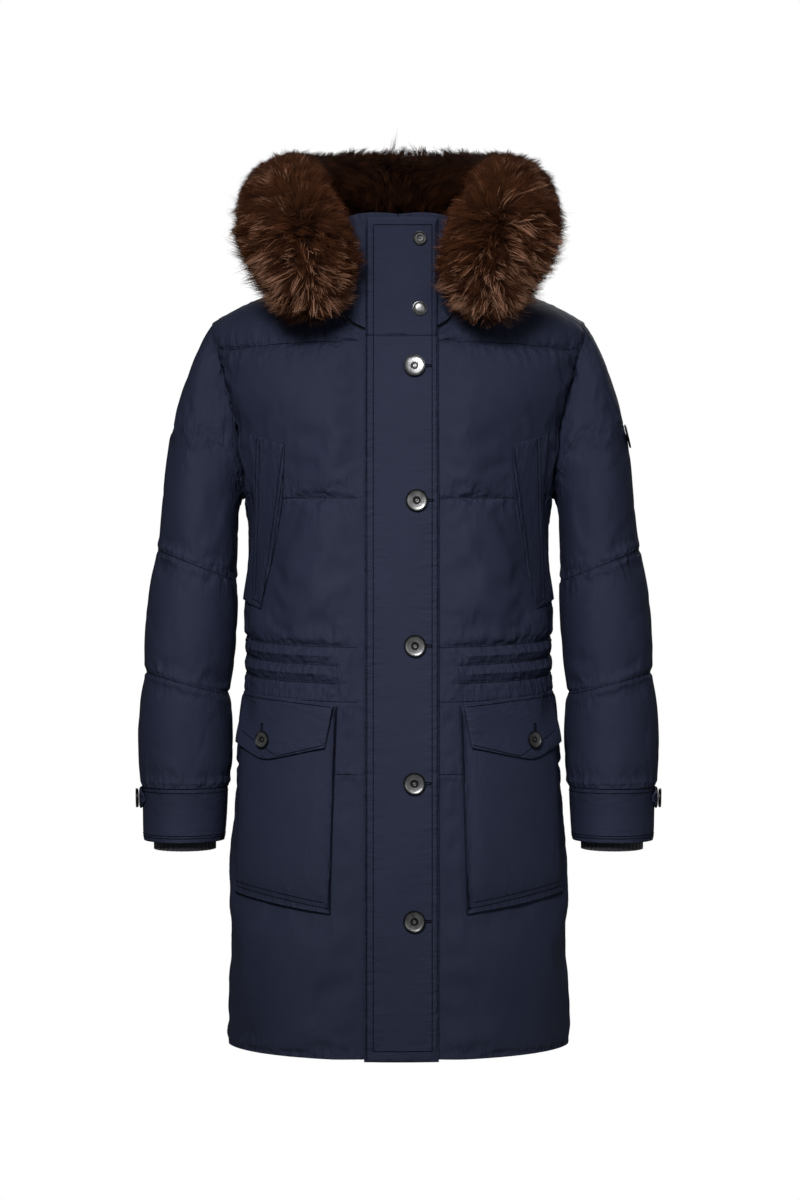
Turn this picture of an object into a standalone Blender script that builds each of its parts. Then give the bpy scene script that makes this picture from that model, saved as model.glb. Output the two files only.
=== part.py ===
"""Long down-filled parka with a fur-trimmed hood, in the shape it has when worn, hollow inside.

Metres, +Z up. The front faces -Y. The origin is the middle of the neck base, between the shoulders.
"""

import math

import bmesh
import bpy
import numpy as np
from mathutils import Vector, noise
from mathutils.bvhtree import BVHTree

# Gaps and cloth thickness
SEAM_GAP = 0.0003
LAY_GAP = 0.0008
SEAM_THICKNESS = 0.0055
FLAT_THICKNESS = 0.0050
ZONE_THICKNESS = 0.0085

# Torso sections of the plain inner side: height, half width, front depth, back depth
TORSO = (
    (-0.887, 0.1945, 0.131, 0.116),
    (-0.645, 0.1925, 0.129, 0.114),
    (-0.600, 0.1895, 0.128, 0.113),
    (-0.490, 0.1805, 0.125, 0.111),
    (-0.457, 0.1780, 0.124, 0.110),
    (-0.420, 0.1770, 0.124, 0.110),
    (-0.360, 0.1770, 0.125, 0.111),
    (-0.300, 0.1725, 0.126, 0.112),
    (-0.235, 0.1785, 0.127, 0.113),
    (-0.190, 0.1950, 0.127, 0.113),
    (-0.165, 0.2030, 0.127, 0.113),
    (-0.110, 0.2170, 0.127, 0.113),
    (-0.077, 0.2290, 0.127, 0.113),
    (-0.038, 0.2410, 0.127, 0.113),
    (0.030, 0.2410, 0.127, 0.113),
)
SECTION_POWER = 2.1
CHEST_TOP = -0.20
RISE_POWER = 2.8
SLOPE_STEP = 1e-4
SLOPE_MARGIN = 0.0015

# Shoulder line, neck and armhole
SHOULDER_TOP = 0.020
SHOULDER_FALL = 3.3
SHOULDER_POWER = 2.74
NECK_HALF = 0.085
NECK_FRONT = -0.053
NECK_FRONT_POWER = 5
NECK_BACK = 0.006
NECK_BACK_POWER = 2
TIP_X = 0.220
ARMPIT = -0.235
# Armhole edge, from the armpit up: height, distance from the middle
ARMHOLE = (
    (-0.2350, 0.1785),
    (-0.1900, 0.1850),
    (-0.1720, 0.1870),
    (-0.1360, 0.1935),
    (-0.1100, 0.2010),
    (-0.0770, 0.2095),
    (-0.0380, 0.2200),
)

# Rows of quilting from the hem up: height at the middle, height at the side,
# steps of the mesh up to the next row, and how far the filling rises above the seams
QUILT = (
    (-0.887, -0.887, 8, 0.0085),
    (-0.561, -0.556, 4, 0.0085),
    (-0.478, -0.467, 2, 0.0045),
    (-0.457, -0.4455, 2, 0.0045),
    (-0.436, -0.424, 2, 0.0045),
    (-0.415, -0.4025, 6, 0.0095),
    (-0.243, ARMPIT, 8, 0.0095),
    (-0.062, -0.068, 4, 0.0060),
)
WAIST_ROWS = (2, 5)
RIB_INNER = 0.066
RIB_FADE = 0.012
YOKE_ROW = 7
# Shape of the filling: its section across a channel, and how it fades out
CHANNEL_POWER = 3.0
CHANNEL_ROUND = 0.62
HEM_SHARE = 0.12
YOKE_FADE = 0.45
WIDE_WAIST = 1.5
FADE_POWER = 2.5
SIDE_FADE = 0.030
PLACKET_FADE = 0.022

# Placket: the strip over the front opening
PLACKET_LEFT = -0.0383
PLACKET_RIGHT = 0.0451
PLACKET_THICKNESS = 0.0065
PLACKET_EDGE_THICKNESS = 0.0035
PLACKET_EDGE = 0.003
PLACKET_BOTTOM = -0.8892
PLACKET_SEAM = -0.0557
PLACKET_TOP = 0.0800
PLACKET_ARCH = 0.0020
PLACKET_MIDDLE = (PLACKET_LEFT + PLACKET_RIGHT) / 2
PLACKET_HALF = 0.042
PLACKET_COLUMNS = (
    PLACKET_LEFT,
    PLACKET_LEFT + PLACKET_EDGE,
    -0.018,
    PLACKET_MIDDLE,
    0.024,
    PLACKET_RIGHT - PLACKET_EDGE,
    PLACKET_RIGHT,
)
PLACKET_LEVELS = 24
UPPER_SHARES = (0.0, 0.12, 0.24, 0.36, 0.48, 0.60, 0.72, 0.86, 0.97, 1.0)
UPPER_EDGE = 0.03
UPPER_GAP = 1.4 * LAY_GAP
THROAT_FROM = NECK_FRONT + 0.008
UNDER_PLACKET = 0.046

# Columns of the fronts along the neckline, as distances from the middle
NECK_COLUMNS = (0.0002, 0.024, UNDER_PLACKET, 0.062, 0.076, 0.0835, NECK_HALF)
SIDE_STEPS = 8

# Lower pocket, flap and chest welt on the right half, as corners (distance from the middle, height):
# inner top, inner bottom, outer bottom, outer top
POCKET = ((0.0680, -0.4830), (0.0755, -0.7200), (0.1800, -0.7020), (0.1715, -0.4730))
WELT = ((0.1268, -0.1790), (0.1540, -0.3696), (0.1745, -0.3590), (0.1670, -0.1655))
POCKET_FULLNESS = 0.0135
POCKET_EDGE = 0.0040
POCKET_BELLOWS = 0.0085
# Shares of the pocket over which its fullness rises: from its inner edge, its outer edge, its bottom
POCKET_RISE = (0.07, 0.16, 0.12)
POCKET_ACROSS = (0.0, 0.03, 0.10, 0.25, 0.42, 0.58, 0.74, 0.88, 0.96, 1.0)
POCKET_UP = (0.0, 0.03, 0.09, 0.2, 0.36, 0.52, 0.68, 0.82, 0.93, 1.0)
FLAP_THICKNESS = 0.0040
FLAP_EDGE = 0.0022
FLAP_DROP = 0.0016
FLAP_ACROSS = (0.0, 0.04, 0.2, 0.38, 0.55, 0.70, 0.85, 0.96, 1.0)
FLAP_UP = (0.0, 0.08, 0.3, 0.55, 0.8, 1.0)
# Flap's inner edge at the bottom and at the top, and its outer edge, as distances from the middle
FLAP_INNER = (0.0780, 0.0685)
FLAP_OUTER = 0.1710
# Flap edge along its width: share of the width from the inner end, lower edge height
FLAP_LOWER = ((0.0, -0.5300), (0.70, -0.5470), (1.0, -0.5280))
FLAP_TOP = (-0.4795, -0.4690)
WELT_THICKNESS = 0.0030
WELT_EDGE = 0.0016
WELT_ACROSS = (0.0, 0.12, 0.5, 0.88, 1.0)
WELT_UP = (0.0, 0.03, 0.15, 0.28, 0.42, 0.57, 0.71, 0.85, 0.97, 1.0)
ZONE_MARGIN = 0.014
ZONE_SOFT = 0.010

# Sleeve sections below the armpit: middle x, y and z, half width, half depth, tilt in degrees
SLEEVE = (
    (0.2413, -0.004, -0.318, 0.0415, 0.0580, 22.0),
    (0.2480, -0.006, -0.388, 0.0420, 0.0575, 19.0),
    (0.2525, -0.008, -0.458, 0.0425, 0.0560, 16.0),
    (0.2548, -0.010, -0.520, 0.0430, 0.0530, 8.0),
    (0.2548, -0.012, -0.582, 0.0437, 0.0500, 0.0),
)
SLEEVE_ROWS = (0, 2, 4)
CAP_STEPS = (4, 6)
CHANNEL_STEPS = 6
SLEEVE_PUFF = 0.0070
SLEEVE_SEAM = 0.0060
UNDERARM_EASE = 0.8
# Quilting line over the upper sleeve: distance from the middle and height at its outer end, slope
CAP_LINE = (0.269, -0.150, 0.33)
# Direction in which the sleeve leaves the armhole: out, forward swing, down, and more down at the top
SLEEVE_LEAVE = (0.95, -0.15, -0.035, -0.395)
# Length of the sleeve head's curve at the armhole and at its lower end, at the top and less underneath
CAP_PULL = (0.20, 0.09)
CAP_SETTLE = (0.24, 0.18)
CAP_LINE_FROM = 0.06
CAP_LINE_FADE = 0.12
CAP_LINE_FIRST = 0.14
CAP_ROW_POWER = 0.85
CAP_START = 0.02
# How much the first rings of the sleeve lean with the armhole's seam
SEAM_LEAN = (0.6, 0.25)
START_GAP = 1.3 * SEAM_GAP
CAP_SAMPLES = 201

# Cuffs
CUFF_TOP = -0.5824
CUFF_BOTTOM = -0.6456
CUFF_THICKNESS = 0.0060
CUFF_EDGE = 0.0012
CUFF_SHARES = (0.0, 0.06, 0.5, 0.94, 1.0)
CUFF_SIDES = 24
CUFF_TOP_SIZE = (0.2545, -0.012, 0.0520, 0.0575)
CUFF_BOTTOM_SIZE = (0.2558, -0.013, 0.0495, 0.0550)
KNIT_TOP = -0.6050
KNIT_BOTTOM = -0.6565
KNIT_RIBS = 36
KNIT_THICKNESS = 0.0028
KNIT_RIB_HEIGHT = 0.0012
KNIT_SHARE = 0.4
KNIT_INSET = CUFF_THICKNESS + KNIT_RIB_HEIGHT + 3 * SEAM_GAP
KNIT_SETTLE = 0.020
# Half width and half depth of the knit below the cuff's lining, and at its lower edge
KNIT_WRIST = (0.0365, 0.0420)
KNIT_END = (0.0357, 0.0412)
# Cuff tab: levels across it, steps along it, its angles round the cuff and its thickness
TAB_LEVELS = (-0.0125, -0.0105, 0.0, 0.0105, 0.0125)
TAB_STEPS = 12
TAB_FROM = -88
TAB_TURN = 118
TAB_POINT = (0.6, 2.6)
TAB_THICKNESS = 0.0030
TAB_EDGE = 0.0016

# Hood: angle round the neck from the front, then out and up from the neck seam
# at a quarter, a half, three quarters and the whole of the height
HOOD = (
    (0.0, 0.001, 0.034, 0.001, 0.068, 0.000, 0.103, -0.003, 0.138),
    (30.0, 0.001, 0.033, 0.002, 0.067, 0.003, 0.100, 0.001, 0.133),
    (48.0, 0.002, 0.024, 0.003, 0.048, 0.004, 0.071, 0.004, 0.094),
    (65.0, 0.004, 0.014, 0.008, 0.027, 0.013, 0.040, 0.018, 0.050),
    (95.0, 0.018, 0.012, 0.030, 0.020, 0.042, 0.029, 0.050, 0.042),
    (120.0, 0.034, 0.006, 0.064, 0.022, 0.080, 0.056, 0.078, 0.096),
    (150.0, 0.043, -0.006, 0.100, 0.010, 0.112, 0.070, 0.088, 0.128),
    (180.0, 0.045, -0.008, 0.105, 0.008, 0.118, 0.072, 0.092, 0.133),
)
HOOD_TURN_Y = 0.02
# Angle round the neck at which the hood starts to lie on the shoulder, and over which it does
HOOD_LIES_FROM = 45
HOOD_LIES_OVER = 50
HOOD_LIFT = 0.0030
HOOD_THICKNESS = 0.0052
HOOD_STEPS = 8
HOOD_PASSES = 2
HOOD_REACH = 0.060
REST_GAP = 0.0006
LINING_THICKNESS = 0.0014
LINING_GAP = 0.0012
LINING_REACH = 0.012

# Fur trim from the front lobe round to the back: x, y, z of the middle, radius
FUR = (
    (0.096, -0.144, -0.030, 0.041),
    (0.104, -0.142, 0.008, 0.062),
    (0.112, -0.128, 0.058, 0.0735),
    (0.123, -0.086, 0.096, 0.065),
    (0.137, -0.010, 0.124, 0.055),
    (0.118, 0.072, 0.150, 0.046),
    (0.062, 0.113, 0.162, 0.041),
    (0.000, 0.124, 0.165, 0.039),
)
FUR_STEPS = 44
FUR_SIDES = 16
FUR_LUMP = 0.07
FUR_LUMP_SCALE = 28.0
FUR_END = 0.5
FUR_AWAY_Y = 0.01
FUR_EASE = 0.0075
FUR_PASSES = 4
FUR_SAMPLES = (0.0, 0.125, 0.25, 0.375, 0.5, 0.625, 0.75, 0.875, 1.0)
EASE_PASSES = 8

# Laying one piece on another: passes, and the places looked at across each cell
PUSH_PASSES = 4
CELL_SAMPLES = (0.0, 0.25, 0.5, 0.75, 1.0)
PATCH_REACH = 0.030

# Profile of a button: share of the radius, share of the thickness
BUTTON_PROFILE = ((0.86, 0.0), (1.0, 0.40), (0.93, 1.0), (0.74, 0.60))
BUTTON_SIDES = 14
BUTTON_TOUCHES = 8
BUTTON_THICKNESS = 0.0036
SMALL_THICKNESS = 0.0034
# Place in front of the coat from which the buttons are laid on, and above the pocket and the cuff
VIEW_Y = -0.4
BACKWARD = Vector((0, 1, 0))
POCKET_AWAY = 0.10
CUFF_AWAY = 0.05
BADGE_AWAY = 0.1
# Buttons: x and z on the placket, as in the front view
BUTTON_ROWS = (
    (0.0182, -0.0914),
    (0.0208, -0.2457),
    (0.0189, -0.4126),
    (0.0182, -0.5703),
    (0.0182, -0.7277),
)
SNAP_ROWS = ((0.0245, 0.0561), (0.0245, -0.0243))
BUTTON_RADIUS = 0.01275
SNAP_RADIUS = 0.0082
POCKET_BUTTON = (0.1400, -0.5230, 0.0100)
CUFF_BUTTON_RADIUS = 0.0115
CUFF_BUTTON_Z = -0.5956
CUFF_BUTTON_TURN = 8
# Badge: x, y and z of the place on the sleeve it is aimed at, the direction, radius and thickness
BADGE_PLACE = (0.262, -0.020, -0.1662)
BADGE_AIM = (-0.96, 0.28, -0.10)
BADGE_RADIUS = 0.0145
BADGE_THICKNESS = 0.0022


def clear_scene():
    for obj in list(bpy.data.objects):
        bpy.data.objects.remove(obj, do_unlink=True)


def finish_material(name, colour, roughness, metallic=0.0):
    material = bpy.data.materials.new(name)
    material.use_nodes = True
    shader = material.node_tree.nodes["Principled BSDF"]
    shader.inputs["Base Color"].default_value = (*colour, 1.0)
    shader.inputs["Roughness"].default_value = roughness
    shader.inputs["Metallic"].default_value = metallic
    material.diffuse_color = (*colour, 1.0)
    return material


def curve(table, column, at):
    """Smooth curve through one column of a table, read at the values of the table's first column."""
    xs = np.array([row[0] for row in table])
    ys = np.array([row[column] for row in table])
    slopes = np.gradient(ys, xs)
    at = np.clip(at, xs[0], xs[-1])
    k = np.clip(np.searchsorted(xs, at) - 1, 0, len(xs) - 2)
    width = xs[k + 1] - xs[k]
    s = (at - xs[k]) / width
    start = (1 + 2 * s) * (1 - s) ** 2 * ys[k] + s * (1 - s) ** 2 * width * slopes[k]
    end = s * s * (3 - 2 * s) * ys[k + 1] + s * s * (s - 1) * width * slopes[k + 1]
    return start + end


def smooth_step(value):
    value = np.clip(value, 0.0, 1.0)
    return value * value * (3 - 2 * value)


def unit(vectors):
    return vectors / np.maximum(np.linalg.norm(vectors, axis=-1, keepdims=True), 1e-12)


def half_width(z):
    return curve(TORSO, 1, z)


def shoulder_z(x):
    return SHOULDER_TOP - SHOULDER_FALL * np.abs(x) ** SHOULDER_POWER


def base_y(x, z, face):
    """Depth of the plain inner side of the front (face -1) or the back (face 1)."""
    depth = curve(TORSO, 2 if face < 0 else 3, z)
    share = np.clip(np.abs(x) / half_width(z), 0.0, 1.0)
    across = (1 - share**SECTION_POWER) ** (1 / SECTION_POWER)
    rise = np.clip((z - CHEST_TOP) / (shoulder_z(x) - CHEST_TOP), 0.0, 1.0)
    return face * depth * across * (1 - rise**RISE_POWER) ** (1 / RISE_POWER)


def base_normal(x, z, face):
    """Outward direction of the plain inner side."""
    step = SLOPE_STEP
    reach = half_width(z) - SLOPE_MARGIN
    xc = np.clip(x, -reach, reach)
    zc = np.minimum(z, shoulder_z(xc) - SLOPE_MARGIN)
    by_x = (base_y(xc + step, zc, face) - base_y(xc - step, zc, face)) / (2 * step)
    by_z = (base_y(xc, zc + step, face) - base_y(xc, zc - step, face)) / (2 * step)
    return unit(np.stack([-face * by_x, np.full_like(by_x, face * 1.0), -face * by_z], axis=-1))


def lifted(x, z, face, height):
    """Points at a height above the plain inner side."""
    x, z, height = np.broadcast_arrays(np.asarray(x, float), z, height)
    points = np.stack([x, base_y(x, z, face), z], axis=-1)
    return points + base_normal(x, z, face) * height[..., None]


def neck_z(x, face):
    top = shoulder_z(NECK_HALF)
    share = np.clip(np.abs(x) / NECK_HALF, 0.0, 1.0)
    if face < 0:
        return NECK_FRONT + (top - NECK_FRONT) * share**NECK_FRONT_POWER
    return NECK_BACK + (top - NECK_BACK) * share**NECK_BACK_POWER


def section_angle(x, z):
    return np.arcsin(np.clip(np.abs(x) / half_width(z), 0.0, 1.0) ** (SECTION_POWER / 2))


def section_x(angle, z):
    return half_width(z) * np.sin(np.maximum(angle, 0.0)) ** (2 / SECTION_POWER)


def edge_angle(z):
    """Angle round the section at which the panel ends: the side seam, or the armhole above the armpit."""
    if z <= ARMPIT + 1e-9:
        return math.pi / 2
    return float(section_angle(curve(ARMHOLE, 1, z), z))


def corner_mask(x, z, corners):
    """1 inside a four-cornered zone of the right half, falling to 0 over a soft border outside it."""
    inside = np.full(np.shape(x), 1.0)
    for (ax, az), (bx, bz) in zip(corners, corners[1:] + corners[:1]):
        length = math.hypot(bx - ax, bz - az)
        distance = ((bx - ax) * (z - az) - (bz - az) * (x - ax)) / length
        inside = np.minimum(inside, smooth_step(1 + (distance + ZONE_MARGIN) / ZONE_SOFT))
    return inside


def bump(share):
    """Rise of the filling across one channel: 0 at both seams and 1 in the middle."""
    return np.clip(1 - np.abs(2 * share - 1) ** CHANNEL_POWER, 0.0, 1.0) ** CHANNEL_ROUND


def row_steps():
    """Each row of the mesh from the hem up: the quilting row below it, and its share of the way up."""
    rows = []
    for k, (_, _, steps, _) in enumerate(QUILT):
        for j in range(steps):
            rows.append((k, 0.5 - 0.5 * math.cos(math.pi * j / steps)))
    rows.append((len(QUILT) - 1, 1.0))
    return rows


def row_height(k, share, q, top):
    low = QUILT[k][0] + (QUILT[k][1] - QUILT[k][0]) * q
    if k == YOKE_ROW:
        return low * (1 - share) + top * share
    high = QUILT[k + 1][0] + (QUILT[k + 1][1] - QUILT[k + 1][0]) * q
    return low * (1 - share) + high * share


def channel_rise(k, share, x, face):
    puff = QUILT[k][3]
    if k == 0:
        return puff * bump(HEM_SHARE + (1 - HEM_SHARE) * share) + np.zeros_like(x)
    rise = puff * bump(share)
    if k == YOKE_ROW:
        rise *= smooth_step((1 - share) / YOKE_FADE)
    if WAIST_ROWS[0] <= k < WAIST_ROWS[1] and face < 0:
        whole = (k - WAIST_ROWS[0] + share) / (WAIST_ROWS[1] - WAIST_ROWS[0])
        ribbed = smooth_step((np.abs(x) - RIB_INNER) / RIB_FADE)
        rise = ribbed * rise + (1 - ribbed) * WIDE_WAIST * puff * bump(whole)
    return rise + np.zeros_like(x)


def panel(columns, face):
    """Inner points, outer points and outward directions of the right front or of the whole back."""
    tip_z = float(shoulder_z(TIP_X))
    top_edge = edge_angle(tip_z)
    inner, outer, normals = [], [], []
    for k, share in row_steps():
        edge_z = row_height(k, share, 1.0, tip_z)
        limit = edge_angle(edge_z)
        angle = np.abs(columns) * limit
        top_x = section_x(np.abs(columns) * top_edge, tip_z)
        if face < 0:
            flat_to = float(section_angle(UNDER_PLACKET, edge_z))
            beyond = (columns[3:] - columns[2]) / (1 - columns[2])
            angle[:3] = section_angle(np.array(NECK_COLUMNS[:3]), edge_z)
            angle[3:] = flat_to + (limit - flat_to) * beyond
        top = np.where(top_x < NECK_HALF - 1e-5, neck_z(top_x, face), shoulder_z(top_x))
        z = row_height(k, share, columns**2, top)
        x = section_x(angle, z)
        if k == YOKE_ROW:
            x = x * (1 - share) + top_x * share
        x = np.where(np.abs(columns) < 1e-6, 0.0, np.maximum(x, SEAM_GAP / 2))
        if face < 0:
            x[:3] = NECK_COLUMNS[:3]
        rise = channel_rise(k, share, x, face)
        to_side = (1 - np.abs(columns)) * limit * half_width(z)
        rise = rise * (1 - (1 - np.clip(to_side / SIDE_FADE, 0, 1)) ** FADE_POWER)
        if face < 0:
            from_placket = np.clip((x - UNDER_PLACKET) / PLACKET_FADE, 0, 1)
            rise = rise * (1 - (1 - from_placket) ** FADE_POWER)
        height = SEAM_THICKNESS + rise
        if face < 0:
            height = np.where(x < UNDER_PLACKET + 1e-4, FLAT_THICKNESS, height)
            near_side = smooth_step(to_side / ZONE_SOFT)
            for zone in (POCKET, WELT):
                mask = corner_mask(x, z, zone) * near_side
                height = height * (1 - mask) + ZONE_THICKNESS * mask
        sign = np.where(columns < 0, -1.0, 1.0)
        direction = base_normal(x, z, face)
        y = base_y(x, z, face)
        on_seam = (np.abs(np.abs(columns) - 1) < 1e-6) & (edge_z <= ARMPIT + 1e-6)
        on_seam |= (share == 1.0) & (k == YOKE_ROW) & (top_x >= NECK_HALF - 1e-5)
        direction[..., 1] = np.where(on_seam, 0.0, direction[..., 1])
        direction = unit(direction)
        y = np.where(face * y < SEAM_GAP / 2, face * SEAM_GAP / 2, y)
        points = np.stack([x, y, z], axis=-1)
        raised = points + direction * height[:, None]
        for array in (points, raised, direction):
            array[:, 0] *= sign
        inner.append(points)
        outer.append(raised)
        normals.append(direction)
    return np.array(inner), np.array(outer), np.array(normals)


def column_shares():
    """Places of the front's columns, as shares of the angle from the middle to the edge."""
    tip_z = float(shoulder_z(TIP_X))
    limit = edge_angle(tip_z)
    neck = [float(section_angle(x, tip_z)) / limit for x in NECK_COLUMNS]
    side = [neck[-1] + (1 - neck[-1]) * (j + 1) / SIDE_STEPS for j in range(SIDE_STEPS)]
    return np.array(neck + side)


def back_shares(front):
    neck = front[len(NECK_COLUMNS) - 1]
    right = [neck / 2] + list(front[len(NECK_COLUMNS) - 1 :])
    return np.array([-f for f in reversed(right)] + [0.0] + right)


def mirrored(points):
    return points * np.array([-1.0, 1.0, 1.0])


def skin(bm, rows, around):
    count = len(rows[0])
    for low, high in zip(rows, rows[1:]):
        for j in range(count if around else count - 1):
            n = (j + 1) % count
            bm.faces.new((low[j], low[n], high[n], high[j]))


def border(bm, fine, coarse, around):
    """Closes the edge between the two sides, one or two fine steps to each coarse one."""
    count = len(coarse) if around else len(coarse) - 1
    step = len(fine) // len(coarse) if around else (len(fine) - 1) // (len(coarse) - 1)
    for j in range(count):
        c0, c1 = coarse[j], coarse[(j + 1) % len(coarse)]
        if step == 1:
            bm.faces.new((fine[j], fine[(j + 1) % len(fine)], c1, c0))
            continue
        f0, f1, f2 = fine[2 * j], fine[2 * j + 1], fine[(2 * j + 2) % len(fine)]
        bm.faces.new((f0, f1, c0))
        bm.faces.new((f1, c1, c0))
        bm.faces.new((f1, f2, c1))


def add_object(name, bm, material):
    bmesh.ops.recalc_face_normals(bm, faces=bm.faces)
    mesh = bpy.data.meshes.new(name)
    bm.to_mesh(mesh)
    bm.free()
    mesh.shade_smooth()
    mesh.set_sharp_from_angle(angle=math.radians(50))
    mesh.materials.append(material)
    obj = bpy.data.objects.new(name, mesh)
    bpy.context.scene.collection.objects.link(obj)
    return obj


def named(name):
    return bpy.data.objects[name]


def tree_of(obj):
    mesh = obj.data
    mesh.calc_loop_triangles()
    return BVHTree.FromPolygons([v.co for v in mesh.vertices], [t.vertices for t in mesh.loop_triangles])


def wall(name, outer, inner, material, around=False):
    """Closed wall between an outer grid of points and an inner grid with as many steps or half as many."""
    bm = bmesh.new()
    out = [[bm.verts.new(p) for p in row] for row in outer]
    ins = [[bm.verts.new(p) for p in row] for row in inner]
    skin(bm, out, around)
    skin(bm, ins, around)
    for end in (0, -1):
        border(bm, out[end], ins[end], around)
        if not around:
            border(bm, [row[end] for row in out], [row[end] for row in ins], False)
    return add_object(name, bm, material)


def fold_armhole(front, back):
    """Leans the edges at the armhole halfway between the body and the sleeve."""
    loop, rows_front, rows_back = armhole_loop(front, back)
    _, seam_side = sleeve_start(loop[0])
    lean = unit(loop[2] + seam_side)
    count = len(rows_front)
    for i, row in enumerate(rows_front):
        front[2][row, -1] = lean[i]
    places = [0, *range(count, len(lean)), count - 1]
    back_rows = [rows_front[0], *rows_back, rows_front[-1]]
    for i, row in zip(places, back_rows):
        back[2][row, -1] = lean[i]
        back[2][row, 0] = mirrored(lean[i])
    for (inner, outer, normals), edges in ((front, (-1,)), (back, (0, -1))):
        for column in edges:
            for row in rows_front:
                outer[row, column] = inner[row, column] + normals[row, column] * SEAM_THICKNESS


def body_panels(cloth):
    front_columns = column_shares()
    front = panel(front_columns, -1)
    back = panel(back_shares(front_columns), 1)
    fold_armhole(front, back)
    inner, outer, _ = front
    wall("front_right", outer, inner[::2, ::2], cloth)
    wall("front_left", mirrored(outer), mirrored(inner)[::2, ::2], cloth)
    wall("back", back[1], back[0][::2, ::2], cloth)
    return front, back


def armhole_loop(front, back):
    """Seam points of the right armhole from the shoulder tip down the front, and up the back."""
    first = sum(steps for _, side_height, steps, _ in QUILT if side_height < ARMPIT)
    last = len(front[0]) - 1
    front_rows = list(range(last, first - 1, -1))
    back_rows = list(range(first + 1, last))
    loop = []
    for f, b in zip(front, back):
        points = [f[r, -1] for r in front_rows] + [b[r, -1] for r in back_rows]
        loop.append(np.array(points))
    for at in (0, len(front_rows) - 1):
        for array in loop:
            array[at, 1] = 0.0
    return loop, front_rows, back_rows


def sleeve_start(seam_inner):
    """Direction in which the sleeve leaves each point of the armhole, and its outward side there."""
    count = len(seam_inner)
    turn = np.arange(count) * 2 * math.pi / count
    out, swing, down, top_down = SLEEVE_LEAVE
    falls = down + top_down * np.cos(turn)
    leave = unit(np.stack([np.full(count, out), swing * np.sin(turn), falls], -1))
    edge = unit(np.roll(seam_inner, -1, axis=0) - np.roll(seam_inner, 1, axis=0))
    side = unit(np.cross(leave, edge))
    side *= np.sign((side * (seam_inner - seam_inner.mean(axis=0))).sum(axis=1))[:, None]
    return leave, side


def sleeve_ring(place, count):
    """One ring of the sleeve's inner side, at a place between the rows of the sleeve table."""
    table = [(i, *row) for i, row in enumerate(SLEEVE)]
    x, y, z, a, b, tilt = (float(curve(table, c, place)) for c in range(1, 7))
    turn = np.arange(count) * 2 * math.pi / count
    lean = math.radians(tilt)
    across = np.array([math.cos(lean), 0.0, math.sin(lean)])
    forward = np.array([0.0, -1.0, 0.0])
    middle = np.array([x, y, z])
    ring = middle + np.outer(np.cos(turn) * a, across) + np.outer(np.sin(turn) * b, forward)
    down = np.array([math.sin(lean), 0.0, -math.cos(lean)])
    return ring, down


def cap_line_z(x):
    at, height, slope = CAP_LINE
    return height - slope * (at - x)


def hermite(p0, t0, p1, t1, s):
    s = s[..., None]
    a = (1 + 2 * s) * (1 - s) ** 2 * p0 + s * (1 - s) ** 2 * t0
    return a + s * s * (3 - 2 * s) * p1 + s * s * (s - 1) * t1


def sleeve_points(front, back):
    """Inner and outer points of the right sleeve, ring by ring from the armhole down."""
    seam_inner, seam_outer, _ = armhole_loop(front, back)[0]
    count = len(seam_inner)
    turn = np.arange(count) * 2 * math.pi / count
    leave, _ = sleeve_start(seam_inner)
    first_ring, down = sleeve_ring(0.0, count)
    under = 0.5 - 0.5 * np.cos(turn)
    pull = (CAP_PULL[0] - CAP_PULL[1] * under)[:, None]
    settle = (CAP_SETTLE[0] - CAP_SETTLE[1] * under)[:, None]
    start = seam_inner + leave * START_GAP

    def cap(s):
        return hermite(start, leave * pull, first_ring, down * settle, s)

    samples = np.linspace(0, 1, CAP_SAMPLES)
    track = np.array([cap(np.full(count, s)) for s in samples])
    above = track[:, :, 2] > cap_line_z(track[:, :, 0])
    crossing = np.array([samples[np.argmax(~above[:, i])] if above[0, i] else 0.0 for i in range(count)])
    line_weight = smooth_step((crossing - CAP_LINE_FROM) / CAP_LINE_FADE)
    line_at = np.maximum(crossing, CAP_LINE_FIRST)

    rings, rises = [], []
    upper, lower = CAP_STEPS
    for j in range(upper):
        s = line_at * (j / upper) ** CAP_ROW_POWER
        rings.append(cap(s))
        whole = bump(0.5 * s + CAP_START) if j else np.zeros(count)
        split = bump(s / line_at)
        rises.append(line_weight * split + (1 - line_weight) * whole)
    for j in range(lower + 1):
        share = 0.5 - 0.5 * math.cos(math.pi * j / lower)
        s = line_at + (1 - line_at) * share
        rings.append(cap(s))
        whole = bump(0.5 * s + 0.5)
        rises.append(line_weight * bump(share) + (1 - line_weight) * whole)
    for low, high in zip(SLEEVE_ROWS, SLEEVE_ROWS[1:]):
        for j in range(1, CHANNEL_STEPS + 1):
            share = 0.5 - 0.5 * math.cos(math.pi * j / CHANNEL_STEPS)
            rings.append(sleeve_ring(low + (high - low) * share, count)[0])
            rises.append(np.full(count, float(bump(share))))
    inner = np.array(rings)
    along = np.gradient(inner, axis=0)
    round_it = np.roll(inner, -1, axis=1) - np.roll(inner, 1, axis=1)
    normals = unit(np.cross(along, round_it))
    middle = inner.mean(axis=1, keepdims=True)
    normals *= np.sign((normals * (inner - middle)).sum(axis=(1, 2)))[:, None, None]
    seam_lean = unit(seam_outer - seam_inner)
    for i, share in enumerate(SEAM_LEAN, start=1):
        normals[i] = unit(share * seam_lean + (1 - share) * normals[i])
    rises = np.array(rises)
    rises[: upper + lower] *= (1 - UNDERARM_EASE * under**2)[None, :]
    heights = SLEEVE_SEAM + SLEEVE_PUFF * rises
    outer = inner + normals * heights[..., None]
    outer[0] = seam_outer + leave * START_GAP
    outer[-1, :, 2] = inner[-1, :, 2]
    return inner, outer


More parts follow.
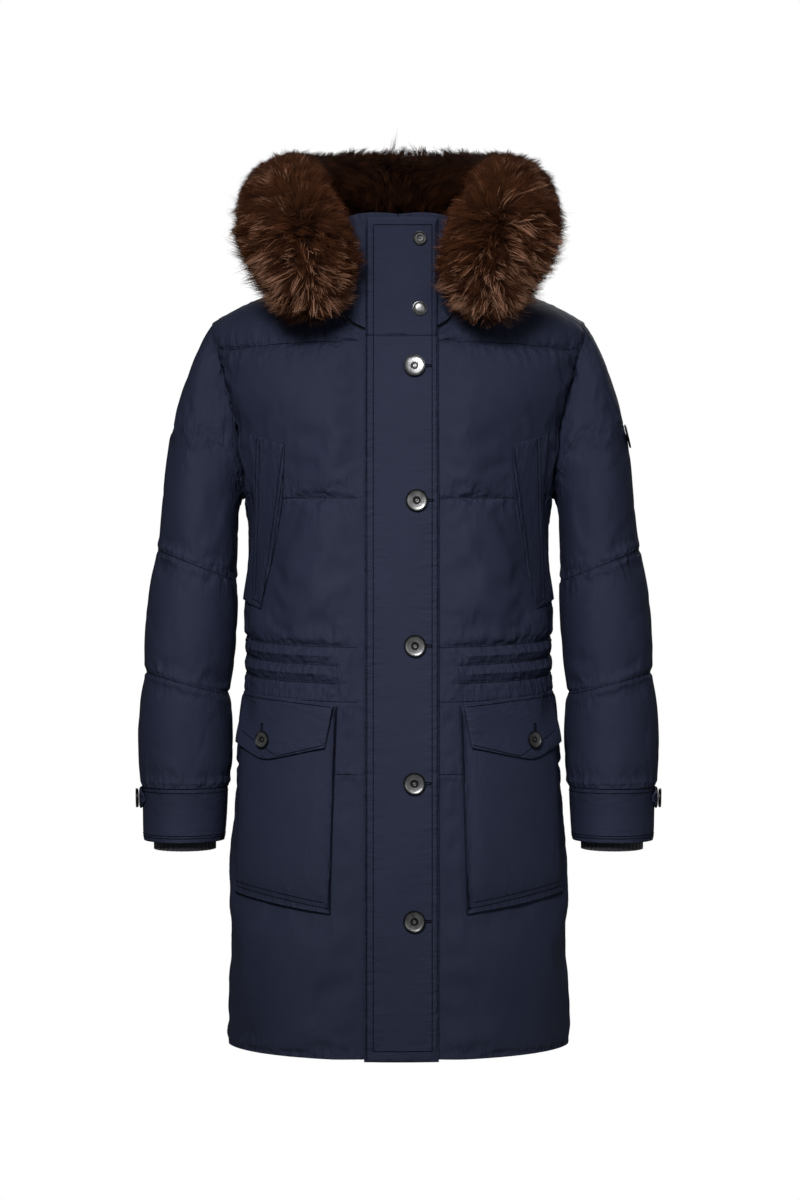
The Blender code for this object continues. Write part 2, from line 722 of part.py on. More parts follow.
def tube(name, rows, count, thickness, material, ribs=0.0):
    """Ring of cloth through rows of middle x, y and z, half width and half depth, ribbed if asked."""
    turn = np.arange(count) * 2 * math.pi / count
    lift = np.where(np.arange(count) % 2 == 0, ribs, 0.0)
    outer, inner = [], []
    for x, y, z, a, b in rows:
        for rings, rise in ((outer, lift), (inner, -thickness)):
            px = x + (a + rise) * np.cos(turn)
            py = y - (b + rise) * np.sin(turn)
            rings.append(np.stack([px, py, np.full(count, z)], -1))
    inner = np.array(inner)
    wall(name, outer, inner[:, ::2] if ribs else inner[::2], material, around=True)


def spread(start, end, share):
    return tuple(a + (b - a) * share for a, b in zip(start, end))


def cuffs(cloth, knit, side, name):
    rows = []
    for share in CUFF_SHARES:
        x, y, a, b = spread(CUFF_TOP_SIZE, CUFF_BOTTOM_SIZE, share)
        edge = CUFF_EDGE if share in (0.0, 1.0) else 0.0
        z = CUFF_TOP + (CUFF_BOTTOM - CUFF_TOP) * share
        rows.append((side * x, y, z, a - edge, b - edge))
    tube("cuff_" + name, rows, CUFF_SIDES, CUFF_THICKNESS, cloth)
    x, y, a, b = spread(CUFF_TOP_SIZE, CUFF_BOTTOM_SIZE, KNIT_SHARE)
    knit_rows = (
        (side * x, y, KNIT_TOP, a - KNIT_INSET, b - KNIT_INSET),
        (side * x, y, KNIT_TOP - KNIT_SETTLE, *KNIT_WRIST),
        (side * x, y, KNIT_BOTTOM, *KNIT_END),
    )
    tube("knit_cuff_" + name, knit_rows, 2 * KNIT_RIBS, KNIT_THICKNESS, knit, KNIT_RIB_HEIGHT)


def cuff_surface(turn, z, height):
    share = (z - CUFF_TOP) / (CUFF_BOTTOM - CUFF_TOP)
    x, y, a, b = spread(CUFF_TOP_SIZE, CUFF_BOTTOM_SIZE, share)
    point = np.array([x + a * math.cos(turn), y - b * math.sin(turn), z])
    out = unit(np.array([math.cos(turn) / a, -math.sin(turn) / b, 0.0]))
    return point + out * height, out


def cuff_tab(cloth, side, name):
    """Strap across the outer side of the cuff, pointed at its front end."""
    outer, inner = [], []
    blunt, length = TAB_POINT
    for level in TAB_LEVELS:
        low, high = [], []
        for j in range(TAB_STEPS + 1):
            turn = math.radians(TAB_FROM + TAB_TURN * j / TAB_STEPS)
            taper = min(1.0, (TAB_STEPS - j + blunt) / length)
            z = CUFF_BUTTON_Z + level * taper
            edge = level in (TAB_LEVELS[0], TAB_LEVELS[-1]) or j in (0, TAB_STEPS)
            low.append(cuff_surface(turn, z, LAY_GAP)[0])
            high.append(cuff_surface(turn, z, LAY_GAP + (TAB_EDGE if edge else TAB_THICKNESS))[0])
        inner.append(low)
        outer.append(high)
    mirror = np.array([side, 1.0, 1.0])
    wall("cuff_tab_" + name, np.array(outer) * mirror, np.array(inner) * mirror, cloth)


def patch_grid(corners, across, up):
    """Even grid over a four-cornered zone of the right half: distance from the middle and height."""
    angles = [float(section_angle(x, z)) for x, z in corners]
    heights = [z for _, z in corners]

    def blend(values):
        inner_top, inner_low, outer_low, outer_top = values
        low = inner_low + (outer_low - inner_low) * across[None, :]
        high = inner_top + (outer_top - inner_top) * across[None, :]
        return low + (high - low) * up[:, None]

    z = blend(heights)
    return section_x(blend(angles), z), z


def lay_patch(name, x, z, rise, height, below, side, cloth):
    """Patch made from the front's points, moved out until it clears the piece below it."""
    low = lifted(x, z, -1, height + LAY_GAP)
    ways = base_normal(x, z, -1)
    low = low + ways * push_out(low, ways, [tree_of(named(below))], LAY_GAP / 2, PATCH_REACH)[..., None]
    high = low + ways * np.broadcast_to(rise, x.shape)[..., None]
    mirror = np.array([side, 1.0, 1.0])
    wall(name, high * mirror, low * mirror, cloth)


def pocket(cloth, side, name):
    """Bellows pocket: sewn down at the side and the bottom, standing proud at its inner edge."""
    across, up = np.array(POCKET_ACROSS), np.array(POCKET_UP)
    x, z = patch_grid(POCKET, across, up)
    from_inner, from_outer, from_bottom = POCKET_RISE
    inward = smooth_step(np.minimum(across / from_inner, (1 - across) / from_outer))[None, :]
    upward = smooth_step(up / from_bottom)[:, None]
    rise = POCKET_EDGE + (POCKET_FULLNESS - POCKET_EDGE) * inward * upward
    rise = np.where((across == 0.0)[None, :] & (up > 0)[:, None], POCKET_BELLOWS, rise)
    lay_patch("pocket_" + name, x, z, rise, ZONE_THICKNESS, "front_right", side, cloth)


def flap(cloth, side, name):
    """Pocket flap: straight above, running down to a point near its outer end."""
    across, up = np.array(FLAP_ACROSS), np.array(FLAP_UP)
    lower = np.interp(across, [share for share, _ in FLAP_LOWER], [height for _, height in FLAP_LOWER])
    upper = FLAP_TOP[0] + (FLAP_TOP[1] - FLAP_TOP[0]) * across
    z = lower[None, :] + (upper - lower)[None, :] * up[:, None]
    start = FLAP_INNER[0] + (FLAP_INNER[1] - FLAP_INNER[0]) * up[:, None]
    x = start + (FLAP_OUTER - start) * across[None, :]
    base = ZONE_THICKNESS + POCKET_FULLNESS - LAY_GAP
    rim = np.minimum(np.minimum(across, 1 - across)[None, :] / FLAP_ACROSS[1], up[:, None] / FLAP_UP[1])
    rise = FLAP_EDGE + (FLAP_THICKNESS - FLAP_EDGE) * np.clip(rim, 0, 1)
    rise = rise - FLAP_DROP * (up == 1.0)[:, None]
    lay_patch("pocket_flap_" + name, x, z, rise, base, "pocket_right", side, cloth)


def welt(cloth, side, name):
    across, up = np.array(WELT_ACROSS), np.array(WELT_UP)
    x, z = patch_grid(WELT, across, up)
    from_side = np.minimum(across, 1 - across)[None, :] / WELT_ACROSS[1]
    from_end = np.minimum(up, 1 - up)[:, None] / WELT_UP[1]
    rise = WELT_EDGE + (WELT_THICKNESS - WELT_EDGE) * np.clip(np.minimum(from_side, from_end), 0, 1)
    lay_patch("chest_pocket_" + name, x, z, rise, ZONE_THICKNESS, "front_right", side, cloth)


def placket_rise(edge):
    """Thickness of the placket, less at its edges, from the distance to them in edge widths."""
    return PLACKET_EDGE_THICKNESS + (PLACKET_THICKNESS - PLACKET_EDGE_THICKNESS) * np.clip(edge, 0, 1)


def placket_lower(cloth):
    x = np.array(PLACKET_COLUMNS)
    z = np.linspace(PLACKET_BOTTOM, PLACKET_SEAM - PLACKET_EDGE, PLACKET_LEVELS)
    z = np.concatenate([[z[0], z[0] + PLACKET_EDGE], z[1:]])
    x, z = np.broadcast_arrays(x[None, :], z[:, None])
    edge = np.minimum(np.minimum(x - PLACKET_LEFT, PLACKET_RIGHT - x), z - PLACKET_BOTTOM) / PLACKET_EDGE
    rise = placket_rise(edge)
    low = lifted(x, z, -1, FLAT_THICKNESS + LAY_GAP)
    high = lifted(x, z, -1, FLAT_THICKNESS + LAY_GAP + rise)
    for grid in (low, high):
        grid[..., 2] = np.minimum(grid[..., 2], PLACKET_SEAM)
    wall("placket_lower", high, low, cloth)


def neck_polyline(front, back):
    """Seam points of the neck from the middle of the front round the right side to the back."""
    neck = len(NECK_COLUMNS)
    rings = []
    for f, b in zip(front, back):
        middle = b.shape[1] // 2
        front_points = [f[-1, j] for j in range(neck)]
        back_points = [b[-1, middle + 1], b[-1, middle]]
        points = list(front_points)
        previous = front_points[-1] * np.array([1.0, 0.0, 1.0])
        points[-1] = previous
        for target in back_points:
            points += [previous + (target - previous) * share for share in (1 / 3, 2 / 3, 1.0)]
            previous = target
        rings.append(np.array(points))
    return rings


def push_out(grid, ways, trees, gap, reach):
    """How far each point of a grid must move along its direction for the cells to clear the trees."""
    rows, count = grid.shape[:2]
    total = np.zeros((rows, count))
    for _ in range(PUSH_PASSES):
        moved = grid + ways * total[..., None]
        push = np.zeros_like(total)
        for i in range(rows - 1):
            for j in range(count - 1):
                cell = np.s_[i : i + 2, j : j + 2]
                need = cell_need(moved[cell], ways[cell], trees, gap, reach)
                push[cell] = np.maximum(push[cell], need)
        total += push
        if push.max() == 0.0:
            break
    return total


def cell_need(corners, ways, trees, gap, reach):
    """How far one cell of a grid lies below what it should clear."""
    need = 0.0
    for s in CELL_SAMPLES:
        for t in CELL_SAMPLES:
            for point, way in zip(cell_points(corners, s, t), cell_points(ways, s, t)):
                way = unit(way)
                length = free_reach(trees, point + way * reach, -way)
                need = max(need, reach + gap - length)
    return need


def cell_points(corners, s, t):
    """A place of a four-cornered cell, on both of the ways to cut the cell into triangles."""
    (a, b), (d, c) = corners
    first = a + (d - a) * s + (b - a) * t if s + t <= 1 else c + (b - c) * (1 - s) + (d - c) * (1 - t)
    second = a + (b - a) * t + (c - b) * s if t >= s else a + (d - a) * s + (c - d) * t
    return first, second


def hood_normals(inner, seam_normal):
    along = np.gradient(inner, axis=0)
    round_it = np.gradient(inner, axis=1)
    round_it[:, 0] = np.array([1.0, 0.0, 0.0])
    round_it[:, -1] = np.array([-1.0, 0.0, 0.0])
    normals = unit(np.cross(round_it, along))
    normals[0] = seam_normal
    return normals


def hood_grids(front, back):
    """Inner and outer points of the right half of the hood, from the neck seam up."""
    seam_inner, seam_outer, seam_normal = neck_polyline(front, back)
    count = len(seam_inner)
    turn = np.degrees(np.arctan2(seam_inner[:, 0], -(seam_inner[:, 1] + HOOD_TURN_Y)))
    turn[0], turn[-1] = 0.0, 180.0
    radial = np.stack([np.sin(np.radians(turn)), -np.cos(np.radians(turn)), np.zeros(count)], -1)
    on_top = smooth_step((turn - HOOD_LIES_FROM) / HOOD_LIES_OVER)[:, None]
    lift = np.array([0.0, 0.0, 1.0])
    base = seam_inner + (seam_outer - seam_inner) * on_top + lift * (SEAM_GAP * 1.5 + HOOD_LIFT * on_top)
    inner = []
    for level in range(HOOD_STEPS + 1):
        place = 4 * level / HOOD_STEPS
        out = np.zeros(count)
        up = np.zeros(count)
        for i in range(count):
            stations = [(0, 0.0, 0.0)]
            for n in range(4):
                o = float(curve(HOOD, 1 + 2 * n, turn[i]))
                u = float(curve(HOOD, 2 + 2 * n, turn[i]))
                stations.append((n + 1, o, u))
            out[i] = curve(stations, 1, place)
            up[i] = curve(stations, 2, place)
        inner.append(base + radial * out[:, None] + lift * up[:, None])
    inner = np.array(inner)
    first_normal = unit(seam_normal * (1 - on_top) + radial * on_top)
    body = [tree_of(named(name)) for name in ("front_right", "back")]
    ways = np.zeros_like(inner) + lift
    for _ in range(HOOD_PASSES):
        normals = hood_normals(inner, first_normal)
        outer = inner + normals * HOOD_THICKNESS
        rest = push_out(outer, ways, body, REST_GAP, HOOD_REACH)
        rest = np.maximum(rest, push_out(inner, ways, body, REST_GAP, HOOD_REACH))
        inner = inner + ways * rest[..., None]
    normals = hood_normals(inner, first_normal)
    outer = inner + normals * HOOD_THICKNESS
    for grid in (inner, outer):
        grid[:, 0, 0] = SEAM_GAP
        grid[:, -1, 0] = SEAM_GAP / 2
    return inner, outer, normals


def hood(front, back, cloth, lining):
    inner, outer, normals = hood_grids(front, back)
    halves = [wall("hood_right", outer, inner, cloth)]
    halves.append(wall("hood_left", mirrored(outer), mirrored(inner), cloth))
    ways = -normals[2::2, 2:]
    face = inner[2::2, 2:] + ways * LINING_GAP
    right = push_out(face, ways, [tree_of(halves[0])], LINING_GAP / 2, LINING_REACH)
    left = push_out(mirrored(face), mirrored(ways), [tree_of(halves[1])], LINING_GAP / 2, LINING_REACH)
    face = face + ways * np.maximum(right, left)[..., None]
    back_face = face + ways * LINING_THICKNESS

    def whole(half):
        return np.concatenate([mirrored(half), half[:, -2::-1]], axis=1)

    wall("hood_lining", whole(face), whole(back_face), lining)
    return halves


def placket_upper(cloth, halves):
    """Upper part of the placket, lying on the throat of the hood, with a slightly arched top."""
    trees = [tree_of(h) for h in halves]
    fronts = [tree_of(named("front_left")), tree_of(named("front_right"))]
    bottom = PLACKET_SEAM + SEAM_GAP
    low, high = [], []
    for share in UPPER_SHARES:
        low_row, high_row = [], []
        for x in PLACKET_COLUMNS:
            arch = PLACKET_ARCH * (1 - ((x - PLACKET_MIDDLE) / PLACKET_HALF) ** 2)
            z = bottom + (PLACKET_TOP + arch - bottom) * share
            throat_z = min(max(z, THROAT_FROM), PLACKET_TOP)
            hits = [t.ray_cast(Vector((x, VIEW_Y, throat_z)), BACKWARD)[0] for t in trees]
            hits += [t.ray_cast(Vector((x, VIEW_Y, z)), BACKWARD)[0] for t in fronts]
            y = min(hit.y for hit in hits if hit is not None) - UPPER_GAP
            edge = min(min(x - PLACKET_LEFT, PLACKET_RIGHT - x) / PLACKET_EDGE, (1 - share) / UPPER_EDGE)
            low_row.append((x, y, z))
            high_row.append((x, y - float(placket_rise(edge)), z))
        low.append(low_row)
        high.append(high_row)
    wall("placket_upper", high, low, cloth)


def fur_trim(fur):
    """Fur round the hood's edge: a lumpy roll with a large lobe on each side of the throat."""
    right = [(i, *row) for i, row in enumerate(FUR)]
    left = [(2 * len(FUR) - 2 - i, -x, y, z, r) for i, (x, y, z, r) in enumerate(FUR)]
    table = right + left[-2::-1]
    last = table[-1][0]
    places = np.linspace(0, last, FUR_STEPS + 1)
    path = np.stack([curve(table, c, places) for c in (1, 2, 3)], -1)
    radius = curve(table, 4, places)
    tangent = unit(np.gradient(path, axis=0))
    away = unit(path * np.array([1.0, 1.0, 0.0]) - np.array([0.0, FUR_AWAY_Y, 0.0]))
    side = unit(away - tangent * (away * tangent).sum(axis=1)[:, None])
    other = np.cross(tangent, side)
    around = ("hood_left", "hood_right", "hood_lining", "front_left", "front_right", "back")
    trees = [tree_of(named(name)) for name in around]
    reach = np.zeros((len(path), FUR_SIDES))
    directions = np.zeros((len(path), FUR_SIDES, 3))
    for i, (c, s, o, r) in enumerate(zip(path, side, other, radius)):
        for j in range(FUR_SIDES):
            turn = 2 * math.pi * j / FUR_SIDES
            directions[i, j] = s * math.cos(turn) + o * math.sin(turn)
            lump = 1 + FUR_LUMP * noise.noise(Vector((c + directions[i, j] * r) * FUR_LUMP_SCALE))
            reach[i, j] = min(r * lump, free_reach(trees, c, directions[i, j]) - LAY_GAP)
    for _ in range(FUR_PASSES):
        reach = ease(reach, FUR_EASE)
        spare = fur_excess(path, directions, reach, trees)
        if spare.max() == 0.0:
            break
        reach = reach - spare
    bm = bmesh.new()
    rings = []
    for i in range(len(path)):
        rings.append([bm.verts.new(path[i] + directions[i, j] * reach[i, j]) for j in range(FUR_SIDES)])
    for low, high in zip(rings, rings[1:]):
        for j in range(FUR_SIDES):
            n = (j + 1) % FUR_SIDES
            bm.faces.new((low[j], low[n], high[n], high[j]))
    for end, sign in ((0, -1.0), (-1, 1.0)):
        ring, centre, direction = rings[end], path[end], tangent[end] * sign
        tip_reach = min(radius[end] * FUR_END, free_reach(trees, centre, direction) - LAY_GAP)
        tip = bm.verts.new(centre + direction * tip_reach)
        for j in range(FUR_SIDES):
            bm.faces.new((ring[j], ring[(j + 1) % FUR_SIDES], tip))
    add_object("fur_trim", bm, fur)


def ease(reach, most):
    """Limits how much the reach may differ between neighbours."""
    places = np.arange(len(reach))
    for _ in range(EASE_PASSES):
        for di, dj in ((-1, 0), (1, 0), (0, -1), (0, 1)):
            beside = np.roll(reach, dj, axis=1)[np.clip(places + di, 0, len(reach) - 1)]
            reach = np.minimum(reach, beside + most)
    return reach


def fur_excess(path, directions, reach, trees):
    """How far the cells of the fur run into the cloth round them, at the corners of the cells."""
    points = path[:, None, :] + directions * reach[..., None]
    excess = np.zeros_like(reach)
    for i in range(len(path) - 1):
        for j in range(FUR_SIDES):
            n = (j + 1) % FUR_SIDES
            most = 0.0
            for s in FUR_SAMPLES:
                centre = path[i] * (1 - s) + path[i + 1] * s
                for t in FUR_SAMPLES:
                    for point in cell_points(points[i : i + 2, [j, n]], s, t):
                        length = float(np.linalg.norm(point - centre))
                        free = free_reach(trees, centre, (point - centre) / length)
                        most = max(most, length + LAY_GAP - free)
            for a, b in ((i, j), (i, n), (i + 1, j), (i + 1, n)):
                excess[a, b] = max(excess[a, b], most)
    return excess


def free_reach(trees, centre, direction):
    """How far a line from the middle of the fur runs before it meets the cloth."""
    lengths = [tree.ray_cast(Vector(centre), Vector(direction))[3] for tree in trees]
    return min([length for length in lengths if length is not None] + [1.0])


def button(name, middle, out, radius, thickness, metal):
    """Dished button with a raised rim, lying on the surface below it."""
    out = Vector(out).normalized()
    side = out.orthogonal().normalized()
    other = out.cross(side)
    bm = bmesh.new()
    rings = []
    for share, height in BUTTON_PROFILE:
        ring = []
        for j in range(BUTTON_SIDES):
            turn = 2 * math.pi * j / BUTTON_SIDES
            flat = (side * math.cos(turn) + other * math.sin(turn)) * radius * share
            ring.append(bm.verts.new(Vector(middle) + flat + out * thickness * height))
        rings.append(ring)
    skin(bm, rings, True)
    bm.faces.new(rings[0])
    bm.faces.new(rings[-1])
    add_object(name, bm, metal)


def lay_button(name, obj, origin, aim, radius, thickness, metal):
    """Lays a button where a line from the origin meets an object, just clear of it all round."""
    tree = tree_of(obj)
    origin, aim = Vector(origin), Vector(aim).normalized()
    hit = tree.ray_cast(origin, aim)[0]
    side = aim.orthogonal().normalized()
    other = aim.cross(side)
    touches = []
    for j in range(BUTTON_TOUCHES):
        turn = 2 * math.pi * j / BUTTON_TOUCHES
        beside = side * math.cos(turn) + other * math.sin(turn)
        start = origin + beside * radius * BUTTON_PROFILE[0][0]
        touches.append(tree.ray_cast(start, aim)[0])
    normal = Vector((0, 0, 0))
    for a, b in zip(touches, touches[1:] + touches[:1]):
        normal += (a - hit).cross(b - hit)
    normal.normalize()
    if normal.dot(aim) > 0:
        normal = -normal
    highest = max(max((touch - hit).dot(normal) for touch in touches), 0.0)
    button(name, hit + normal * (highest + SEAM_GAP), normal, radius, thickness, metal)


def buttons(metal):
    placket, upper = named("placket_lower"), named("placket_upper")
    for i, (x, z) in enumerate(BUTTON_ROWS, start=1):
        lay_button(f"button_{i}", placket, (x, VIEW_Y, z), BACKWARD, BUTTON_RADIUS, BUTTON_THICKNESS, metal)
    for i, (x, z) in enumerate(SNAP_ROWS, start=1):
        lay_button(f"snap_{i}", upper, (x, VIEW_Y, z), BACKWARD, SNAP_RADIUS, SMALL_THICKNESS, metal)
    x, z, radius = POCKET_BUTTON
    pocket_start = lifted(x, z, -1, POCKET_AWAY)
    pocket_out = base_normal(np.array([x]), np.array([z]), -1)[0]
    cuff_start, cuff_out = cuff_surface(math.radians(CUFF_BUTTON_TURN), CUFF_BUTTON_Z, CUFF_AWAY)
    for side, name in ((-1, "left"), (1, "right")):
        mirror = np.array([side, 1.0, 1.0])
        for piece, below, start, out, size in (
            ("pocket_button_", "pocket_flap_", pocket_start, pocket_out, radius),
            ("cuff_button_", "cuff_tab_", cuff_start, cuff_out, CUFF_BUTTON_RADIUS),
        ):
            on = named(below + name)
            lay_button(piece + name, on, start * mirror, -out * mirror, size, SMALL_THICKNESS, metal)


def badge(metal):
    aim = Vector(BADGE_AIM).normalized()
    start = Vector(BADGE_PLACE) - aim * BADGE_AWAY
    lay_button("sleeve_badge", named("sleeve_right"), start, aim, BADGE_RADIUS, BADGE_THICKNESS, metal)


def build():
    clear_scene()
    cloth = finish_material("navy_shell", (0.020, 0.024, 0.043), 0.62)
    trim = finish_material("navy_trim", (0.023, 0.027, 0.048), 0.60)
    knit = finish_material("navy_knit", (0.014, 0.016, 0.026), 0.90)
    lining = finish_material("navy_lining", (0.008, 0.009, 0.013), 0.70)
    fur = finish_material("brown_fur", (0.050, 0.022, 0.012), 0.95)
    metal = finish_material("gunmetal", (0.10, 0.10, 0.11), 0.35, 0.9)

    front, back = body_panels(cloth)
    inner, outer = sleeve_points(front, back)
    wall("sleeve_right", outer, inner[::2, ::2], cloth, around=True)
    wall("sleeve_left", mirrored(outer), mirrored(inner)[::2, ::2], cloth, around=True)
    for side, name in ((1, "right"), (-1, "left")):
        cuffs(trim, knit, side, name)
        cuff_tab(trim, side, name)
        pocket(cloth, side, name)
        flap(trim, side, name)
        welt(trim, side, name)
    placket_lower(trim)
    halves = hood(front, back, cloth, lining)
    placket_upper(trim, halves)
    fur_trim(fur)
    buttons(metal)
    badge(metal)


build()
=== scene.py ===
"""Looks of the fur-trimmed down parka: filled panels, stitching, fur, buttons, knit cuffs and the studio.

Metres, +Z up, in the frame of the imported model. The front faces -Y, and +X is the sleeve with the badge.
"""

import math

import bmesh
import bpy
import numpy as np
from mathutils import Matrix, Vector, noise
from mathutils.bvhtree import BVHTree
from mathutils.kdtree import KDTree


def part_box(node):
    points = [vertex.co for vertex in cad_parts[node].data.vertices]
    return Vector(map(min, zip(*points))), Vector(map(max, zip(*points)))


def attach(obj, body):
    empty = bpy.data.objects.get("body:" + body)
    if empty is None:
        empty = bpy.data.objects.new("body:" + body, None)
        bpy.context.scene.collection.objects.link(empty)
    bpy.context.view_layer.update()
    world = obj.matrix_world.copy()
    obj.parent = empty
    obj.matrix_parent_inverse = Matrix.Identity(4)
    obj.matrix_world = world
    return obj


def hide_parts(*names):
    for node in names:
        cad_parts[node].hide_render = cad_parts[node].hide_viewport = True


# Quilting rows, as in the construction: height at the middle, height at the side
QUILT = (
    (-0.561, -0.556),
    (-0.478, -0.467),
    (-0.457, -0.4455),
    (-0.436, -0.424),
    (-0.415, -0.4025),
    (-0.243, -0.235),
    (-0.062, -0.068),
)
RIB_ROWS = (2, 3)
RIB_INNER = 0.066
YOKE_ROW = 6
# Height and half width of the torso, and how its quilting rows run round to the side
TORSO = (
    (-0.887, 0.1945), (-0.645, 0.1925), (-0.600, 0.1895), (-0.490, 0.1805), (-0.457, 0.1780),
    (-0.420, 0.1770), (-0.360, 0.1770), (-0.300, 0.1725), (-0.235, 0.1785), (-0.190, 0.1950),
    (-0.070, 0.2300),
)
SIDE_POWER = 1.05

# Sleeve rows: middle x, y and z of the ring, and its tilt in degrees
SLEEVE = (
    (0.2413, -0.004, -0.318, 22.0),
    (0.2525, -0.008, -0.458, 16.0),
    (0.2548, -0.012, -0.582, 0.0),
)
# Seam across the sleeve's cap: x and height of a point on it, slope, and share of the height that counts
CAP_LINE = (0.269, -0.150, 0.33, 0.95)
CAP_LINE_FROM = 0.206
# Axis of the sleeve: height and x, with its y and the height above which it stays
SLEEVE_AXIS = (
    (-0.60, 0.2548), (-0.458, 0.2525), (-0.318, 0.2413), (-0.23, 0.224), (-0.14, 0.200),
    (0.0, 0.190),
)
SLEEVE_AXIS_Y = -0.006
SLEEVE_AXIS_TOP = -0.13
# Sleeve head: height, distance of the armhole from the middle, and share by which it is drawn in to it
SLEEVE_HEAD = (
    (-0.200, 0.185, 0.00), (-0.150, 0.191, 0.00), (-0.120, 0.198, 0.13), (-0.096, 0.205, 0.24),
    (-0.072, 0.211, 0.34), (-0.048, 0.217, 0.46), (-0.020, 0.221, 0.46), (0.010, 0.221, 0.30),
)
SLEEVE_FILL = 0.0022
SLEEVE_FILL_REACH = 0.009

# Placket, pockets, flaps and welts on the right half: distance from the middle, height
PLACKET_LEFT = -0.0383
PLACKET_RIGHT = 0.0451
PLACKET_BOTTOM = -0.8892
PLACKET_TOP = 0.0800
PLACKET_COVER = ((0.0, -1.0), (0.047, -1.0), (0.047, 0.1), (0.0, 0.1))
POCKET = ((0.0680, -0.4830), (0.0755, -0.7200), (0.1800, -0.7020), (0.1715, -0.4730))
FLAP = ((0.0690, -0.4800), (0.0775, -0.5300), (0.1420, -0.5465), (0.1705, -0.5280), (0.1710, -0.4692))
WELT = ((0.1268, -0.1790), (0.1540, -0.3696), (0.1745, -0.3590), (0.1670, -0.1655))
# Upper outer corner of pockets and flaps: how far it is laid in, then start and growth in height and in x
CORNER_LAY = 0.009
CORNER_HIGH = (-0.530, 0.055)
CORNER_OUTER = (0.160, 0.028)

# Neck seam of the front: lowest height, rise up to the shoulder, half width, power
NECK = (-0.053, 0.069, 0.085, 5)
NECK_COVER = 0.0045
NECK_REACH = 0.012
NECK_LEAN = (0.0, -1.0, -0.25)
THROAT_Y = -0.05
THROAT_HALF = 0.095
HOOD_CENTRE = (0.0, 0.02, 0.09)
TORSO_CENTRE_TOP = -0.16
# Widest gaps that are closed: under the hood's foot, from which y on, and between the back and the fronts
HOOD_FOOT = 0.0050
HOOD_FOOT_FROM = (-0.060, 0.030)
SIDE_SEAM = 0.0014

# Meshes: distances and angles at which points and edges are told apart, and the share of faces kept
WELD = 1e-5
FAR = 1.0
ON_ROW = 0.0009
NEAR_ROW = 0.0024
ROW_CREASE = 0.62
CREASE_ANGLE = math.radians(42)
JOIN_FACE_ANGLE = math.radians(35)
JOIN_SHAPE_ANGLE = math.radians(70)
OUTER_FACING = 0.2
PANEL_SHARE = 0.74

# Filling: cloth under pressure, how its seams hold it and how far it may move
CLOTH = {
    "quality": 6,
    "mass": 0.25,
    "air_damping": 2.0,
    "tension_stiffness": 18.0,
    "compression_stiffness": 12.0,
    "shear_stiffness": 4.0,
    "bending_stiffness": 0.12,
    "vertex_group_mass": "held",
    "shrink_min": -0.035,
    "shrink_max": -0.035,
    "use_pressure": True,
    "uniform_pressure_force": 2.5,
}
FILL_FRAMES = 14
FILL_CAP = 0.006
SLEEVE_CAP = 0.0018
HELD_REACH = 0.004
HELD_LEAST = 0.02
HELD_GAIN = 1.15
COVER_MARGIN = 0.002
COVER_SOFT = 0.010
# Shoulders swell less: height where that starts, height over which it grows, share taken off
SHOULDER_CALM = (-0.09, 0.05, 0.6)

# Creases at seams: noise cells in a metre, then shares of the depth, and lengths
WARP_NOISE = 50.0
LENGTH_NOISE = 60.0
FOLD_NOISE = 88.0
FINE_NOISE = 190.0
SLOW_NOISE = 11.0
LONG_NOISE = 15.0
RIPPLE_NOISE = 38.0
WARP = 0.45
FOLD_RISE = 0.35
FINE_SHARE = 0.40
OTHER_SIDE = 3.1
SEAM_REACH = 0.0018
SEAM_WIDTH = 0.0022
CREASE_START = 0.0020
CREASE_POWER = 1.5
FREE_REACH = 0.030
RIB_CALM = 0.25
RIB_MARGINS = (0.004, 0.006)
CRINKLE_REACH = 0.016
# Depth and reach of the creases on filled panels, then folds and hollow of a panel and of a sleeve
PANEL_CREASE = (0.0027, 0.011)
PANEL_FOLDS = (0.0008, 0.0011)
SLEEVE_FOLDS = (0.0013, 0.0003)

# Plain pieces: node, shown name, cloth, subdivision levels, depth and reach of creases, folds, filling
SIDE_PIECES = (
    ("pocket_", "shown_pocket_", "shell", 3, 0.0010, 0.010, 0.0007, 0.4),
    ("pocket_flap_", "shown_flap_", "trim", 3, 0.0005, 0.008, 0.0004, 0.2),
    ("chest_pocket_", "shown_welt_", "shell", 3, 0.0005, 0.008, 0.0004, 0.1),
    ("cuff_", "shown_cuff_", "trim", 2, 0.0005, 0.008, 0.0005, 0.2),
    ("cuff_tab_", "shown_tab_", "trim", 2, 0.0003, 0.006, 0.0002, 0.1),
)
MIDDLE_PIECES = (
    ("placket_lower", "shown_placket_lower", "trim", 3, 0.0007, 0.010, 0.0006, 0.2),
    ("placket_upper", "shown_placket_upper", "trim", 2, 0.0006, 0.010, 0.0006, 0.2),
    ("hood_lining", "shown_hood_lining", "lining", 2, 0.0012, 0.014, 0.0014, 0.1),
)
LAID_PIECES = ("pocket_", "pocket_flap_")

# Cloths: dark and light tone, roughness, stretch of the creases along x, y and z
CLOTHS = {
    "shell": ((0.0165, 0.0205, 0.0430), (0.0205, 0.0255, 0.0515), 0.66, (1.0, 1.0, 0.30)),
    "trim": ((0.0167, 0.0208, 0.0440), (0.0208, 0.0260, 0.0525), 0.66, (0.35, 0.5, 0.9)),
    "lining": ((0.0110, 0.0135, 0.0270), (0.0160, 0.0195, 0.0380), 0.50, (1.0, 1.0, 0.30)),
}
CLOTH_SPECULAR = 0.15
CLOTH_BUMP = (0.9, 0.0042)
WEAVE_SCALE = 420.0
WEAVE_CROSS = 1.4
WEAVE_HEIGHT = 0.035
KNIT_TONES = ((0.25, (0.006, 0.007, 0.012)), (0.8, (0.024, 0.028, 0.042)))
# The thread tones also colour the strip under the stitches, which is painted shade of the groove
THREAD_AND_SHADE_TONES = ((0.3, (0.0008, 0.0010, 0.0025)), (0.7, (0.0025, 0.0030, 0.0065)))
